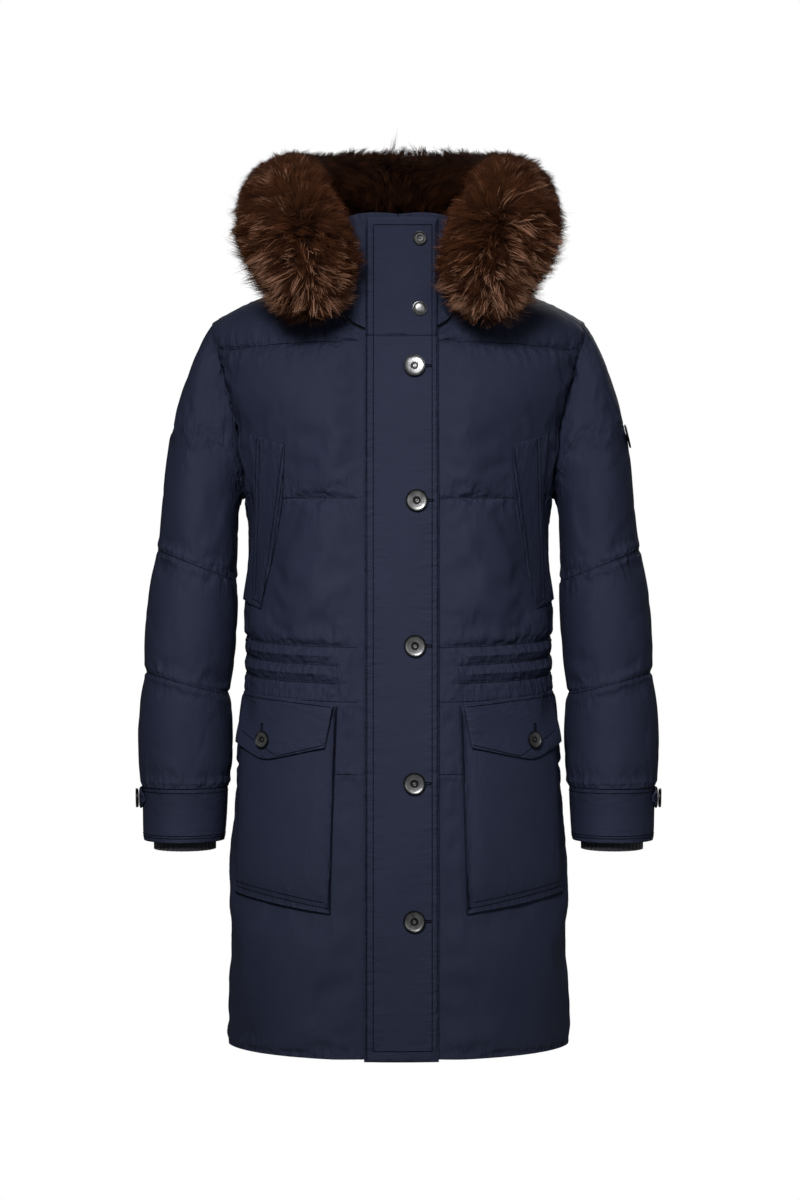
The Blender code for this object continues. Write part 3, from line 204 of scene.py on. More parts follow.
UNDERFUR_TONES = ((0.3, (0.007, 0.003, 0.002)), (0.75, (0.030, 0.013, 0.007)))
FLOOR_TONES = ((0.3, (0.86, 0.86, 0.86)), (0.7, (0.89, 0.89, 0.89)))
# Metals: dark and light tone, roughness, how hammered
METALS = {
    "gunmetal_dark": ((0.12, 0.12, 0.13), (0.27, 0.27, 0.27), 0.34, 0.25),
    "gunmetal_bright": ((0.20, 0.20, 0.21), (0.42, 0.41, 0.40), 0.36, 0.08),
    "badge_dark": ((0.012, 0.012, 0.014), (0.06, 0.06, 0.065), 0.38, 0.15),
}

# Stitches, and under them a narrow dark line: painted shade of the groove that they press into the cloth
STITCH_LENGTH = 0.0029
STITCH_WIDTH = 0.0014
STITCH_HEIGHT = 0.0003
STITCH_PITCH = 0.0037
SHADE_LINE_WIDTH = 0.0008
SHADE_LINE_HEIGHT = 0.00015
LINE_BREAK = 0.02
SHORTEST = 1e-7
ROW_STEP = 0.004
EDGE_STEP = 0.003
VIEW_Y = 0.4
ROW_FROM = 0.047
RIB_STEP_IN = 0.004
ROW_END = 0.176
YOKE_END = 0.205
EDGE_REACH = 0.022
# Rows on pockets, flaps and welts: piece, outline, distance from the edge, corners in turn
EDGE_ROWS = (
    ("pocket_", POCKET, 0.0050, (0, 1, 2)),
    ("pocket_", POCKET, 0.0110, (1, 2)),
    ("pocket_flap_", FLAP, 0.0060, (0, 1, 2, 3)),
    ("pocket_flap_", FLAP, 0.0035, (0, 4)),
    ("chest_pocket_", WELT, 0.0020, (0, 1, 2, 3, 0)),
    ("chest_pocket_", WELT, 0.0062, (0, 1)),
    ("chest_pocket_", WELT, 0.0062, (2, 3)),
)
# Placket rows: distance from the left, right, lower and upper edge, and of the row close to the left one
PLACKET_INSETS = (0.0095, 0.0065, 0.013, 0.008)
PLACKET_EDGE = 0.0022
# Rows round the cuff: middle x, y and z, and tilt
CUFF_ROWS = (
    (0.2545, -0.012, -0.5872, 0.0), (0.2558, -0.013, -0.6375, 0.0), (0.2558, -0.013, -0.6405, 0.0),
)
RING_POINTS = 97
RING_REACH = 0.12
SHARPEST_LEAN = 0.35

# Turned pieces: shares of the radius and of the thickness, and ranges of the radius whose tone is darkened
BUTTON_PROFILE = (
    (0.80, 0.0), (0.93, 0.10), (0.985, 0.35), (1.0, 0.62), (0.985, 0.86), (0.95, 0.99), (0.91, 1.0),
    (0.875, 0.93), (0.855, 0.74), (0.84, 0.60), (0.80, 0.55), (0.62, 0.48), (0.40, 0.44),
    (0.33, 0.44), (0.315, 0.56), (0.285, 0.66), (0.24, 0.66), (0.21, 0.56), (0.20, 0.40),
    (0.12, 0.36), (0.10, 0.46), (0.03, 0.50),
)
SOCKET_PROFILE = (
    (0.80, 0.0), (0.94, 0.12), (1.0, 0.42), (0.97, 0.72), (0.88, 0.90), (0.78, 0.84), (0.74, 0.60),
    (0.70, 0.50), (0.64, 0.50), (0.60, 0.62), (0.56, 0.92), (0.48, 1.0), (0.40, 0.94), (0.36, 0.50),
    (0.34, 0.22), (0.18, 0.20), (0.14, 0.40), (0.04, 0.46),
)
DOME_PROFILE = (
    (0.80, 0.0), (0.94, 0.10), (1.0, 0.30), (0.98, 0.46), (0.92, 0.50), (0.86, 0.44), (0.82, 0.52),
    (0.74, 0.72), (0.60, 0.88), (0.42, 0.97), (0.22, 1.0), (0.05, 1.0),
)
BADGE_PROFILE = (
    (0.90, 0.0), (0.98, 0.12), (1.0, 0.50), (0.985, 0.85), (0.95, 1.0), (0.90, 0.95), (0.875, 0.72),
    (0.86, 0.60), (0.60, 0.62), (0.575, 0.70), (0.54, 0.70), (0.515, 0.62), (0.05, 0.62),
)
# Darkened rings: the raised rims of the buttons and badge, and painted shade in the snaps' grooves and hole
BUTTON_DARK_RINGS = ((0.86, 1.1), (0.19, 0.34))
SOCKET_PAINTED_SHADE = ((0.59, 0.89), (0.0, 0.42))
DOME_PAINTED_SHADE = ((0.84, 0.93),)
DARKENED_TONE = 0.12
BUTTONS = 5
BUTTON_SIDES = 48
SNAP_SIDES = 40
TURNED_SHARP = math.radians(38)
# Distance from the middle beyond which a disc lies on a sleeve, and of the sleeve's axis
ON_SLEEVE = 0.2
SLEEVE_MIDDLE = 0.25

# Buttonholes: radius of the round end and of the thread, corners, lengths, and gaps beside the buttons
HOLE_END = 0.0012
HOLE_THREAD = 0.0008
HOLE_SIDES = 28
HOLE_ROUNDS = 6
PLACKET_HOLE = 0.010
FLAP_HOLE = 0.011
PLACKET_HOLE_GAP = 0.0015
FLAP_HOLE_GAP = 0.003

# Knit cuffs: ribs round the wrist, points in a rib, rows, radii across and along, and depths
KNIT_RIBS = 36
KNIT_COLUMNS = 6
KNIT_ROWS = 16
KNIT_RADII = (0.0357, 0.0412)
KNIT_GROWTH = 0.0008
KNIT_FLARE = (0.45, 0.55, 0.006)
KNIT_RIB = 0.0011
KNIT_RIB_POWER = 0.7
KNIT_LOOP = 0.0003
KNIT_WALL = -0.0024
KNIT_INSIDE = (0.55, -0.0026)

# Middle line of the fur from the front lobe round to the back: x, y, z
FUR = (
    (0.096, -0.144, -0.030),
    (0.104, -0.142, 0.008),
    (0.112, -0.128, 0.058),
    (0.123, -0.086, 0.096),
    (0.137, -0.010, 0.124),
    (0.118, 0.072, 0.150),
    (0.062, 0.113, 0.162),
    (0.000, 0.124, 0.165),
)
FUR_STEPS = 160
FUR_SHELL = 0.0145
FUR_LEAST = 0.42
# Where the fur sits on the hood: start and growth in gap and in y, and share of the hair's depth left out
FUR_SEAT_GAP = (0.004, 0.012)
FUR_SEAT_Y = (-0.070, 0.040)
FUR_SEAT_SHARE = 0.9
# Narrower towards the top, and wider at the sides: share, height, reach and distance from the middle
FUR_NARROW = (0.065, 0.125, 0.045)
FUR_WIDE = (0.035, 0.060, 0.045, 0.11)
FUR_POLE = (0.0, -0.84, 0.54)
FUR_SIDES = (("left", -1.0, -0.062), ("back", -0.062, 0.062), ("right", 0.062, 1.0))
# Hairs: kind, number, share of the length, darkness, half width
HAIRS = (
    ("guard", 70000, 1.0, 1.0, 0.00036),
    ("under", 62000, 0.80, 0.55, 0.00050),
)
CLUMP_HAIRS = 18
HAIR_FALL = (0.0, 0.0, -0.40)
HAIR_ROOT = 0.0015
HAIR_CLEAR = 0.004
HAIR_SIGHT = 0.045
ROOT_COLOUR = (0.009, 0.0032, 0.0013)
MIDDLE_COLOUR = (0.044, 0.0140, 0.0048)
END_COLOUR = (0.082, 0.0275, 0.0105)
TIP_COLOUR = (0.45, 0.240, 0.155)
RIBBON_FACES = ((0, 1, 3), (0, 3, 2), (2, 3, 4))
SPIKE_CORNERS = (0, 1, 4)
SPIKE_FACES = ((0, 1, 2),)
SEED = 41

# Studio: name, place, target, size, power and spread in degrees of each light
LIGHTS = (
    ("key", (-0.35, -2.2, 0.70), (0, 0, -0.44), (0.8, 0.5), 5.0, 50),
    ("fill", (1.7, -2.4, -0.1), (0, 0, -0.4), (0.9, 1.4), 7.0, 180),
    ("top", (0.0, 0.5, 2.3), (0, 0, -0.2), (1.6, 1.2), 12.0, 180),
    ("behind", (0.6, 2.6, 1.2), (0, 0, -0.3), (2.0, 1.6), 36.0, 180),
)
AMBIENT = 0.08
FLOOR_RADIUS = 0.95
FLOOR_Z = -1.36
FLOOR_SIDES = 64
CAMERA_PLACE = (0.0018, -3.0, -0.360)
CAMERA_LENS = 75.0
CAMERA_SENSOR = 36.0


# Meshes

def arrays(obj):
    """Points and normals of an object's mesh."""
    found = []
    for name in ("co", "normal"):
        values = np.zeros(len(obj.data.vertices) * 3)
        obj.data.vertices.foreach_get(name, values)
        found.append(values.reshape(-1, 3))
    return found


def set_points(obj, points):
    obj.data.vertices.foreach_set("co", np.asarray(points, float).ravel())
    obj.data.update()


def unit(vectors):
    return vectors / np.maximum(np.linalg.norm(vectors, axis=-1, keepdims=True), 1e-12)


def facing(first, second):
    """Product of each pair of vectors: above 0 where they face the same way."""
    return (first * second).sum(axis=1)


def smooth_step(value):
    value = np.clip(value, 0.0, 1.0)
    return value * value * (3 - 2 * value)


def tree_of(*objs):
    points, faces = [], []
    for obj in objs:
        start = len(points)
        points += [v.co.copy() for v in obj.data.vertices]
        faces += [tuple(start + i for i in p.vertices) for p in obj.data.polygons]
    return BVHTree.FromPolygons(points, faces)


def kd_of(points):
    tree = KDTree(len(points))
    for i, point in enumerate(points):
        tree.insert(point, i)
    tree.balance()
    return tree


def new_object(name, mesh, material):
    obj = bpy.data.objects.new(name, mesh)
    bpy.context.scene.collection.objects.link(obj)
    mesh.materials.clear()
    mesh.materials.append(material)
    mesh.shade_smooth()
    return obj


def built(name, points, faces, material):
    mesh = bpy.data.meshes.new(name)
    mesh.from_pydata([tuple(p) for p in points], [], faces)
    mesh.update()
    return new_object(name, mesh, material)


def ring_faces(count, sides, closed):
    """Four-sided faces between rings of points, and from the last ring to the first where closed."""
    faces = []
    for i in range(count if closed else count - 1):
        start, above = i * sides, (i + 1) % count * sides
        for j in range(sides):
            n = (j + 1) % sides
            faces.append((start + j, start + n, above + n, above + j))
    return faces


def faced_out(obj):
    """Turns all faces of a closed mesh outwards."""
    bm = bmesh.new()
    bm.from_mesh(obj.data)
    bmesh.ops.recalc_face_normals(bm, faces=bm.faces)
    bm.to_mesh(obj.data)
    bm.free()
    return obj


def add_layer(obj, name, values):
    """Keeps a value for each point, which the finishes read."""
    layer = obj.data.attributes.new(name, "FLOAT", "POINT")
    layer.data.foreach_set("value", values)


def applied(obj, kind, **settings):
    """Replaces an object's mesh by what a modifier makes of it."""
    modifier = obj.modifiers.new("change", kind)
    for key, value in settings.items():
        setattr(modifier, key, value)
    bpy.context.view_layer.update()
    made = bpy.data.meshes.new_from_object(obj.evaluated_get(bpy.context.evaluated_depsgraph_get()))
    obj.modifiers.clear()
    old = obj.data
    obj.data = made
    bpy.data.meshes.remove(old)
    obj.data.shade_smooth()


def subdivided(obj, levels):
    """Subdivision surface. Creased edges stay where they are."""
    applied(obj, "SUBSURF", levels=levels, render_levels=levels, boundary_smooth="PRESERVE_CORNERS")


def copy_of(node, name, material, levels, seam=None):
    """Subdivided copy of a CAD node in four-sided faces, its borders and quilting rows kept by creases."""
    bm = bmesh.new()
    bm.from_mesh(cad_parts[node].data)
    bmesh.ops.remove_doubles(bm, verts=bm.verts, dist=WELD)
    bmesh.ops.join_triangles(
        bm, faces=bm.faces, angle_face_threshold=JOIN_FACE_ANGLE, angle_shape_threshold=JOIN_SHAPE_ANGLE
    )
    crease_layer = bm.edges.layers.float.new("crease_edge")
    for edge in bm.edges:
        if len(edge.link_faces) == 2 and edge.calc_face_angle(0.0) > CREASE_ANGLE:
            edge[crease_layer] = 1.0
    if seam:
        away, which = seam(np.array([v.co for v in bm.verts]))
        bm.verts.index_update()
        for edge in bm.edges:
            i, j = (v.index for v in edge.verts)
            if which[i] == which[j] and abs(away[i]) < ON_ROW and abs(away[j]) < ON_ROW:
                edge[crease_layer] = max(edge[crease_layer], ROW_CREASE)
    mesh = bpy.data.meshes.new(name)
    bm.to_mesh(mesh)
    bm.free()
    obj = new_object(name, mesh, material)
    subdivided(obj, levels)
    return obj


def finish_piece(obj, slot, *nodes):
    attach(obj, "root")
    if nodes:
        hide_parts(*nodes)
    return obj


# Seams of the filled panels

def nearest_row(rows, count):
    """Signed distance from the nearest of several rows, and that row's number."""
    best = np.full(count, FAR)
    which = np.zeros(count, int)
    for k, away in enumerate(rows):
        closer = np.abs(away) < np.abs(best)
        best = np.where(closer, away, best)
        which = np.where(closer, k, which)
    return best, which


def torso_share(points):
    """Share of the way round from the middle of the front or back to the side, squared."""
    half = np.interp(points[:, 2], *zip(*TORSO))
    angle = np.arcsin(np.clip(np.abs(points[:, 0]) / half, 0, 1) ** SIDE_POWER)
    return (angle / (math.pi / 2)) ** 2


def row_lines(node):
    """Each quilting row of the torso as a line of heights over the distance from the middle."""
    points = np.array([v.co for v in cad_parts[node].data.vertices])
    share = torso_share(points)
    lines = []
    for middle, side in QUILT:
        mine = points[np.abs(points[:, 2] - middle - (side - middle) * share) < NEAR_ROW]
        mine = mine[np.argsort(np.abs(mine[:, 0]))]
        lines.append((np.abs(mine[:, 0]), mine[:, 2]))
    return lines


def torso_seam(points, lines, ribs_from):
    """Distance above the nearest quilting seam, and that seam's number."""
    across = np.abs(points[:, 0])
    rows = [points[:, 2] - np.interp(across, places, heights) for places, heights in lines]
    for k in RIB_ROWS:
        rows[k] = np.where(across < ribs_from, FAR, rows[k])
    return nearest_row(rows, len(points))


def side_of(points):
    return 1.0 if points[:, 0].mean() > 0 else -1.0


def sleeve_seam(points):
    """Distance along the sleeve from the nearest seam, and that seam's number: the cap's is the last."""
    local = points * np.array([side_of(points), 1.0, 1.0])
    rows = []
    for x, y, z, tilt in SLEEVE:
        lean = math.radians(tilt)
        down = np.array([math.sin(lean), 0.0, -math.cos(lean)])
        rows.append((local - np.array([x, y, z])) @ down)
    at, height, slope, slant = CAP_LINE
    away = (height - slope * (at - local[:, 0]) - local[:, 2]) * slant
    rows.append(np.where(local[:, 0] < CAP_LINE_FROM, FAR, away))
    return nearest_row(rows, len(points))


def no_seam(points):
    return nearest_row((), len(points))


def torso_outward(points):
    centre = points * np.array([0.0, 0.0, 1.0])
    centre[:, 2] = np.minimum(centre[:, 2], TORSO_CENTRE_TOP)
    return unit(points - centre)


def sleeve_outward(points):
    centre = points.copy()
    centre[:, 0] = side_of(points) * np.interp(points[:, 2], *zip(*SLEEVE_AXIS))
    centre[:, 1] = SLEEVE_AXIS_Y
    centre[:, 2] = np.minimum(points[:, 2], SLEEVE_AXIS_TOP)
    return unit(points - centre)


def hood_outward(points):
    return unit(points - np.array(HOOD_CENTRE))


def border_points(obj):
    """Points on the sharp borders of a piece."""
    bm = bmesh.new()
    bm.from_mesh(obj.data)
    found = set()
    for edge in bm.edges:
        if len(edge.link_faces) != 2 or edge.calc_face_angle(0.0) > CREASE_ANGLE:
            found.update(vertex.index for vertex in edge.verts)
    bm.free()
    return sorted(found)


def border_gaps(obj, points):
    """Distance from each point to the nearest sharp border."""
    edges = border_points(obj)
    if not edges:
        return np.full(len(points), FAR)
    tree = kd_of(points[edges])
    return np.array([tree.find(Vector(p))[2] for p in points])


# Filling: cloth under pressure between the seams that hold it

def inside_share(points, corners):
    """1 inside a polygon in the front view, falling to 0 over a soft border outside it."""
    across, up = np.abs(points[:, 0]), points[:, 2]
    ends = list(corners) + [corners[0]]
    area = sum(ax * bz - bx * az for (ax, az), (bx, bz) in zip(ends, ends[1:]))
    inside = np.full(len(points), 1.0)
    for (ax, az), (bx, bz) in zip(ends, ends[1:]):
        length = math.hypot(bx - ax, bz - az)
        away = ((bx - ax) * (up - az) - (bz - az) * (across - ax)) / length * math.copysign(1, area)
        inside = np.minimum(inside, smooth_step(1 + (away + COVER_MARGIN) / COVER_SOFT))
    return np.where(points[:, 1] < 0, inside, 0.0)


def held_weights(obj, seam, outward):
    """Weight 1 where nothing can push the cloth: on seams, borders and the inner side, under pockets."""
    points, normals = arrays(obj)
    held = np.exp(-((seam(points)[0] / HELD_REACH) ** 2))
    if obj.name in ("shown_front_left", "shown_front_right"):
        covers = (PLACKET_COVER, POCKET, FLAP, WELT)
        held = np.maximum.reduce([held] + [inside_share(points, corners) for corners in covers])
    held[facing(normals, outward(points)) < OUTER_FACING] = 1.0
    return np.maximum(held, np.exp(-((border_gaps(obj, points) / HELD_REACH) ** 2)))


def inflate(obj, held, cap):
    """Blows the cloth up between its seams. The cloth is a little larger than the space, so it puckers."""
    scene = bpy.context.scene
    before, _ = arrays(obj)
    group = obj.vertex_groups.new(name="held")
    for i, weight in enumerate(held):
        if weight > HELD_LEAST:
            group.add([i], float(min(weight * HELD_GAIN, 1.0)), "REPLACE")
    modifier = obj.modifiers.new("fill", "CLOTH")
    for key, value in CLOTH.items():
        setattr(modifier.settings, key, value)
    modifier.settings.effector_weights.gravity = 0.0
    modifier.collision_settings.use_collision = False
    modifier.point_cache.frame_start = 1
    modifier.point_cache.frame_end = FILL_FRAMES
    for number in range(1, FILL_FRAMES + 1):
        scene.frame_set(number)
    made = obj.evaluated_get(bpy.context.evaluated_depsgraph_get()).data
    after = np.zeros(len(made.vertices) * 3)
    made.vertices.foreach_get("co", after)
    after = after.reshape(-1, 3)
    obj.modifiers.clear()
    obj.vertex_groups.clear()
    scene.frame_set(1)
    move = after - before
    length = np.linalg.norm(move, axis=1, keepdims=True)
    start, growth, share = SHOULDER_CALM
    limit = cap * np.tanh(length / cap) * (1 - share * smooth_step((before[:, 2:] - start) / growth))
    set_points(obj, before + move / np.maximum(length, 1e-9) * limit)


# Creases, and forms drawn over the solids

def noise_at(where, scale, offset=(0.0, 0.0, 0.0)):
    return noise.noise(where * scale + Vector(offset))


def crease(value, sharpness):
    """1 along the lines where a noise value is 0, falling off to both sides."""
    return (1 - min(1.0, abs(value) * sharpness)) ** CREASE_POWER


def pucker(obj, seam, depth, reach, folds, hollow=0.0):
    """Short creases that run out from the seams and borders, and soft folds between them."""
    points, normals = arrays(obj)
    away, _ = seam(points)
    on_seam = [i for i in range(len(points)) if abs(away[i]) < SEAM_REACH]
    tree = kd_of(points[border_points(obj) + on_seam])
    rib_low, rib_high = QUILT[1][0] - RIB_MARGINS[0], QUILT[4][0] + RIB_MARGINS[1]
    shift = np.zeros(len(points))
    for i, p in enumerate(points):
        where = Vector(p)
        near, _, distance = tree.find(where)
        side = OTHER_SIDE if away[i] > 0 else 0.0
        warp = noise_at(where, WARP_NOISE) * WARP
        length = 0.55 + 0.9 * abs(noise_at(near, LENGTH_NOISE, (9.0, side, 2.0)))
        fold = crease(noise_at(near, FOLD_NOISE, (side, warp, side)), 3.2)
        fine = crease(noise_at(near, FINE_NOISE, (warp, side, 5.0)), 2.6)
        strength = math.exp(-distance / (reach * length))
        strength *= 1 - math.exp(-((distance / CREASE_START) ** 2))
        ribs = RIB_CALM if rib_low < p[2] < rib_high and seam is not no_seam else 1.0
        shift[i] += depth * strength * (FOLD_RISE - fold - FINE_SHARE * fine) * ribs
        shift[i] -= hollow * math.exp(-((away[i] / SEAM_WIDTH) ** 2))
        free = 1 - math.exp(-distance / FREE_REACH)
        slow = noise_at(where, SLOW_NOISE, (2.0, 5.0, 1.0))
        slanted = Vector((where.x + 0.6 * where.z, where.y, where.z - 0.5 * where.x))
        long_crease = crease(noise_at(slanted, LONG_NOISE, (7.0, 1.0, 3.0)), 5.0)
        shift[i] += folds * free * (0.9 * slow - 0.75 * long_crease + 0.30 * noise_at(where, RIPPLE_NOISE))
    set_points(obj, points + normals * shift[:, None])


def crinkled(obj, seam):
    """Marks how close each point lies to a seam or a border, for the fine creases of the finish."""
    points, _ = arrays(obj)
    away = np.minimum(np.abs(seam(points)[0]), border_gaps(obj, points))
    add_layer(obj, "crinkle", np.exp(-away / CRINKLE_REACH))


def neck_covered(obj):
    """Lets the foot of the hood bulge over the neck seam of the fronts."""
    points, normals = arrays(obj)
    across = np.abs(points[:, 0])
    low, rise, half, power = NECK
    seam_z = low + rise * np.clip(across / half, 0, 1) ** power
    share = NECK_COVER * np.exp(-(((points[:, 2] - seam_z) / NECK_REACH) ** 2))
    share = np.where((points[:, 1] < THROAT_Y) & (across < THROAT_HALF), share, 0.0)
    share = np.where(facing(normals, hood_outward(points)) > 0.0, share, 0.0)
    set_points(obj, points + np.array(NECK_LEAN) * share[:, None])


def closed_on(obj, tree, reach, shares):
    """Draws a piece up to its neighbours where only a narrow gap lies between them."""
    points, _ = arrays(obj)
    for i, p in enumerate(points):
        near, _, _, gap = tree.find_nearest(Vector(p), 2 * reach)
        if near is not None:
            points[i] = p + (np.array(near) - p) * (1 - smooth_step(gap / reach - 1)) * shares[i]
    set_points(obj, points)


def drawn_in(obj):
    """Draws the sleeve's head in towards the armhole, so that the shoulder slopes down softly."""
    points, _ = arrays(obj)
    heights, starts, shares = (np.array(column) for column in zip(*SLEEVE_HEAD))
    start = np.interp(points[:, 2], heights, starts)
    share = np.interp(points[:, 2], heights, shares, left=0.0)
    beyond = np.maximum(np.abs(points[:, 0]) - start, 0.0)
    points[:, 0] -= np.sign(points[:, 0]) * beyond * share
    set_points(obj, points)


def filled_out(obj):
    """Fills the valleys at the sleeve's seams a little, so that its outline runs on smoothly."""
    points, normals = arrays(obj)
    outward = sleeve_outward(points)
    away, which = sleeve_seam(points)
    share = SLEEVE_FILL * np.exp(-((away / SLEEVE_FILL_REACH) ** 2))
    share = np.where(facing(normals, outward) > OUTER_FACING, share, 0.0)
    share = np.where(which < len(SLEEVE), share, 0.0)
    set_points(obj, points + outward * share[:, None])


def corner_laid(obj):
    """Lays the upper outer corner of a pocket or flap closer to the side of the coat."""
    points, _ = arrays(obj)
    high = smooth_step((points[:, 2] - CORNER_HIGH[0]) / CORNER_HIGH[1])
    outer = smooth_step((np.abs(points[:, 0]) - CORNER_OUTER[0]) / CORNER_OUTER[1])
    points[:, 0] -= np.sign(points[:, 0]) * CORNER_LAY * high * outer
    set_points(obj, points)


# Finishes

def shader_of(name, roughness, specular=0.5):
    material = bpy.data.materials.new(name)
    material.use_nodes = True
    shader = material.node_tree.nodes["Principled BSDF"]
    shader.inputs["Roughness"].default_value = roughness
    shader.inputs["Specular IOR Level"].default_value = specular
    return material, material.node_tree, shader


def add_node(tree, kind, **values):
    node = tree.nodes.new(kind)
    for key, value in values.items():
        setattr(node, key, value)
    return node


def scaled_place(tree, scale, stretch=(1.0, 1.0, 1.0)):
    place = add_node(tree, "ShaderNodeTexCoord")
    mapping = add_node(tree, "ShaderNodeMapping")
    mapping.inputs["Scale"].default_value = [scale * s for s in stretch]
    tree.links.new(place.outputs["Object"], mapping.inputs["Vector"])
    return mapping.outputs["Vector"]


def noise_value(tree, scale, detail, rough, stretch=(1.0, 1.0, 1.0)):
    texture = add_node(tree, "ShaderNodeTexNoise")
    texture.inputs["Scale"].default_value = 1.0
    texture.inputs["Detail"].default_value = detail
    texture.inputs["Roughness"].default_value = rough
    tree.links.new(scaled_place(tree, scale, stretch), texture.inputs["Vector"])
    return texture.outputs["Fac"]


def math_node(tree, operation, a, b):
    node = add_node(tree, "ShaderNodeMath", operation=operation)
    for socket, value in zip(node.inputs, (a, b)):
        if isinstance(value, (int, float)):
            socket.default_value = value
        else:
            tree.links.new(value, socket)
    return node.outputs[0]


def colour_ramp(tree, value, stops):
    ramp = add_node(tree, "ShaderNodeValToRGB")
    for element, (at, colour) in zip(ramp.color_ramp.elements, stops):
        element.position = at
        element.color = (*colour, 1.0)
    tree.links.new(value, ramp.inputs["Fac"])
    return ramp.outputs["Color"]


def paint(tree, shader, value, stops):
    tree.links.new(colour_ramp(tree, value, stops), shader.inputs["Base Color"])


def bump(tree, shader, height, strength, distance):
    node = add_node(tree, "ShaderNodeBump")
    node.inputs["Strength"].default_value = strength
    node.inputs["Distance"].default_value = distance
    tree.links.new(height, node.inputs["Height"])
    tree.links.new(node.outputs["Normal"], shader.inputs["Normal"])


def bands(tree, scale, direction):
    texture = add_node(tree, "ShaderNodeTexWave", wave_type="BANDS", bands_direction=direction)
    texture.inputs["Scale"].default_value = 1.0
    tree.links.new(scaled_place(tree, scale), texture.inputs["Vector"])
    return texture.outputs["Fac"]


def fabric(name, dark, light, roughness, stretch):
    """Close twill with fine creases that run out from the seams."""
    material, tree, shader = shader_of(name, roughness, CLOTH_SPECULAR)
    tone = math_node(tree, "MULTIPLY", noise_value(tree, 14.0, 5.0, 0.6), 0.6)
    speck = math_node(tree, "MULTIPLY", noise_value(tree, 900.0, 2.0, 0.5), 0.4)
    paint(tree, shader, math_node(tree, "ADD", tone, speck), ((0.3, dark), (0.72, light)))
    near = add_node(tree, "ShaderNodeAttribute", attribute_name="crinkle").outputs["Fac"]
    fine = noise_value(tree, 150.0, 3.0, 0.55, stretch)
    slanted = noise_value(tree, 70.0, 3.0, 0.55, stretch)
    creases = math_node(tree, "MULTIPLY", math_node(tree, "ADD", fine, slanted), near)
    cross = math_node(tree, "MULTIPLY", bands(tree, WEAVE_SCALE * WEAVE_CROSS, "Z"), 0.5)
    twill = math_node(tree, "ADD", bands(tree, WEAVE_SCALE, "DIAGONAL"), cross)
    threads = math_node(tree, "MULTIPLY", twill, WEAVE_HEIGHT)
    plain = math_node(tree, "MULTIPLY", noise_value(tree, 60.0, 4.0, 0.6), 0.10)
    bump(tree, shader, math_node(tree, "ADD", math_node(tree, "ADD", creases, threads), plain), *CLOTH_BUMP)
    return material


def knit_finish():
    material, tree, shader = shader_of("knit_navy", 0.9)
    paint(tree, shader, noise_value(tree, 700.0, 3.0, 0.6), KNIT_TONES)
    shader.inputs["Sheen Weight"].default_value = 0.35
    bump(tree, shader, noise_value(tree, 1500.0, 2.0, 0.6), 0.5, 0.0005)
    return material


def metal_finish(name):
    """Metal whose tone is darkened on the marked rings: painted shade in the snaps' grooves and hole,
    darker rims on the buttons and badge.
    """
    dark, light, roughness, hammered = METALS[name]
    material, tree, shader = shader_of(name, roughness)
    shade = add_node(tree, "ShaderNodeVectorMath", operation="SCALE")
    tone = noise_value(tree, 160.0, 2.0, 0.5)
    tree.links.new(colour_ramp(tree, tone, ((0.3, dark), (0.7, light))), shade.inputs[0])
    ring_tone = add_node(tree, "ShaderNodeAttribute", attribute_name="ring_darkening").outputs["Fac"]
    tree.links.new(ring_tone, shade.inputs["Scale"])
    tree.links.new(shade.outputs[0], shader.inputs["Base Color"])
    shader.inputs["Metallic"].default_value = 0.9
    bump(tree, shader, noise_value(tree, 420.0, 3.0, 0.6), hammered, 0.0005)
    return material


def hair_finish():
    material, tree, shader = shader_of("fur_brown", 0.75, 0.05)
    tone = add_node(tree, "ShaderNodeAttribute", attribute_name="fur_colour")
    tree.links.new(tone.outputs["Color"], shader.inputs["Base Color"])
    return material


def underfur_finish():
    material, tree, shader = shader_of("underfur_brown", 0.95, 0.03)
    paint(tree, shader, noise_value(tree, 160.0, 5.0, 0.7, (1.0, 1.0, 0.5)), UNDERFUR_TONES)
    bump(tree, shader, noise_value(tree, 500.0, 4.0, 0.7), 0.8, 0.004)
    return material


# Dark thread for stitches and buttonholes; it also colours the strip under the stitches, which is painted
# shade
def thread_and_shade_finish():
    material, tree, shader = shader_of("thread_and_shade_navy", 0.9, 0.06)
    paint(tree, shader, noise_value(tree, 800.0, 2.0, 0.5), THREAD_AND_SHADE_TONES)
    return material


# Stitching

def cast_line(trees, places, way):
    """Points and outward normals where lines through places in the front or back view meet the surface."""
    aim = Vector((0.0, way, 0.0))
    found = []
    for x, z in places:
        hits = [tree.ray_cast(Vector((x, -way * VIEW_Y, z)), aim) for tree in trees]
        hits = [hit for hit in hits if hit[0] is not None]
        if hits:
            hit = min(hits, key=lambda h: h[3])
            found.append((hit[0], hit[1] if hit[1].dot(aim) < 0 else -hit[1]))
    return found


def along(corners, step):
    """Even places along a line of corners."""
    places = []
    for (ax, az), (bx, bz) in zip(corners, corners[1:]):
        count = max(2, int(math.hypot(bx - ax, bz - az) / step))
        for i in range(count):
            share = i / count
            places.append((ax + (bx - ax) * share, az + (bz - az) * share))
    places.append(corners[-1])
    return places


def carried_on(start, end, length):
    """Place on the line from start to end, a length beyond the end."""
    way = unit(np.array(end) - np.array(start))
    return tuple(np.array(end) + way * length)


def inset(corners, amount):
    """Corners of a polygon moved inwards by an amount."""
    count = len(corners)
    middle = np.mean(corners, axis=0)
    moved = []
    for i in range(count):
        before, here, after = (np.array(corners[(i + k) % count]) for k in (-1, 0, 1))
        inward = []
        for x, z in (unit(here - before), unit(after - here)):
            across = np.array([-z, x])
            inward.append(across if across @ (middle - here) >= 0 else -across)
        lean = unit(inward[0] + inward[1])
        moved.append(tuple(here + lean * amount / max(SHARPEST_LEAN, lean @ inward[0])))
    return moved


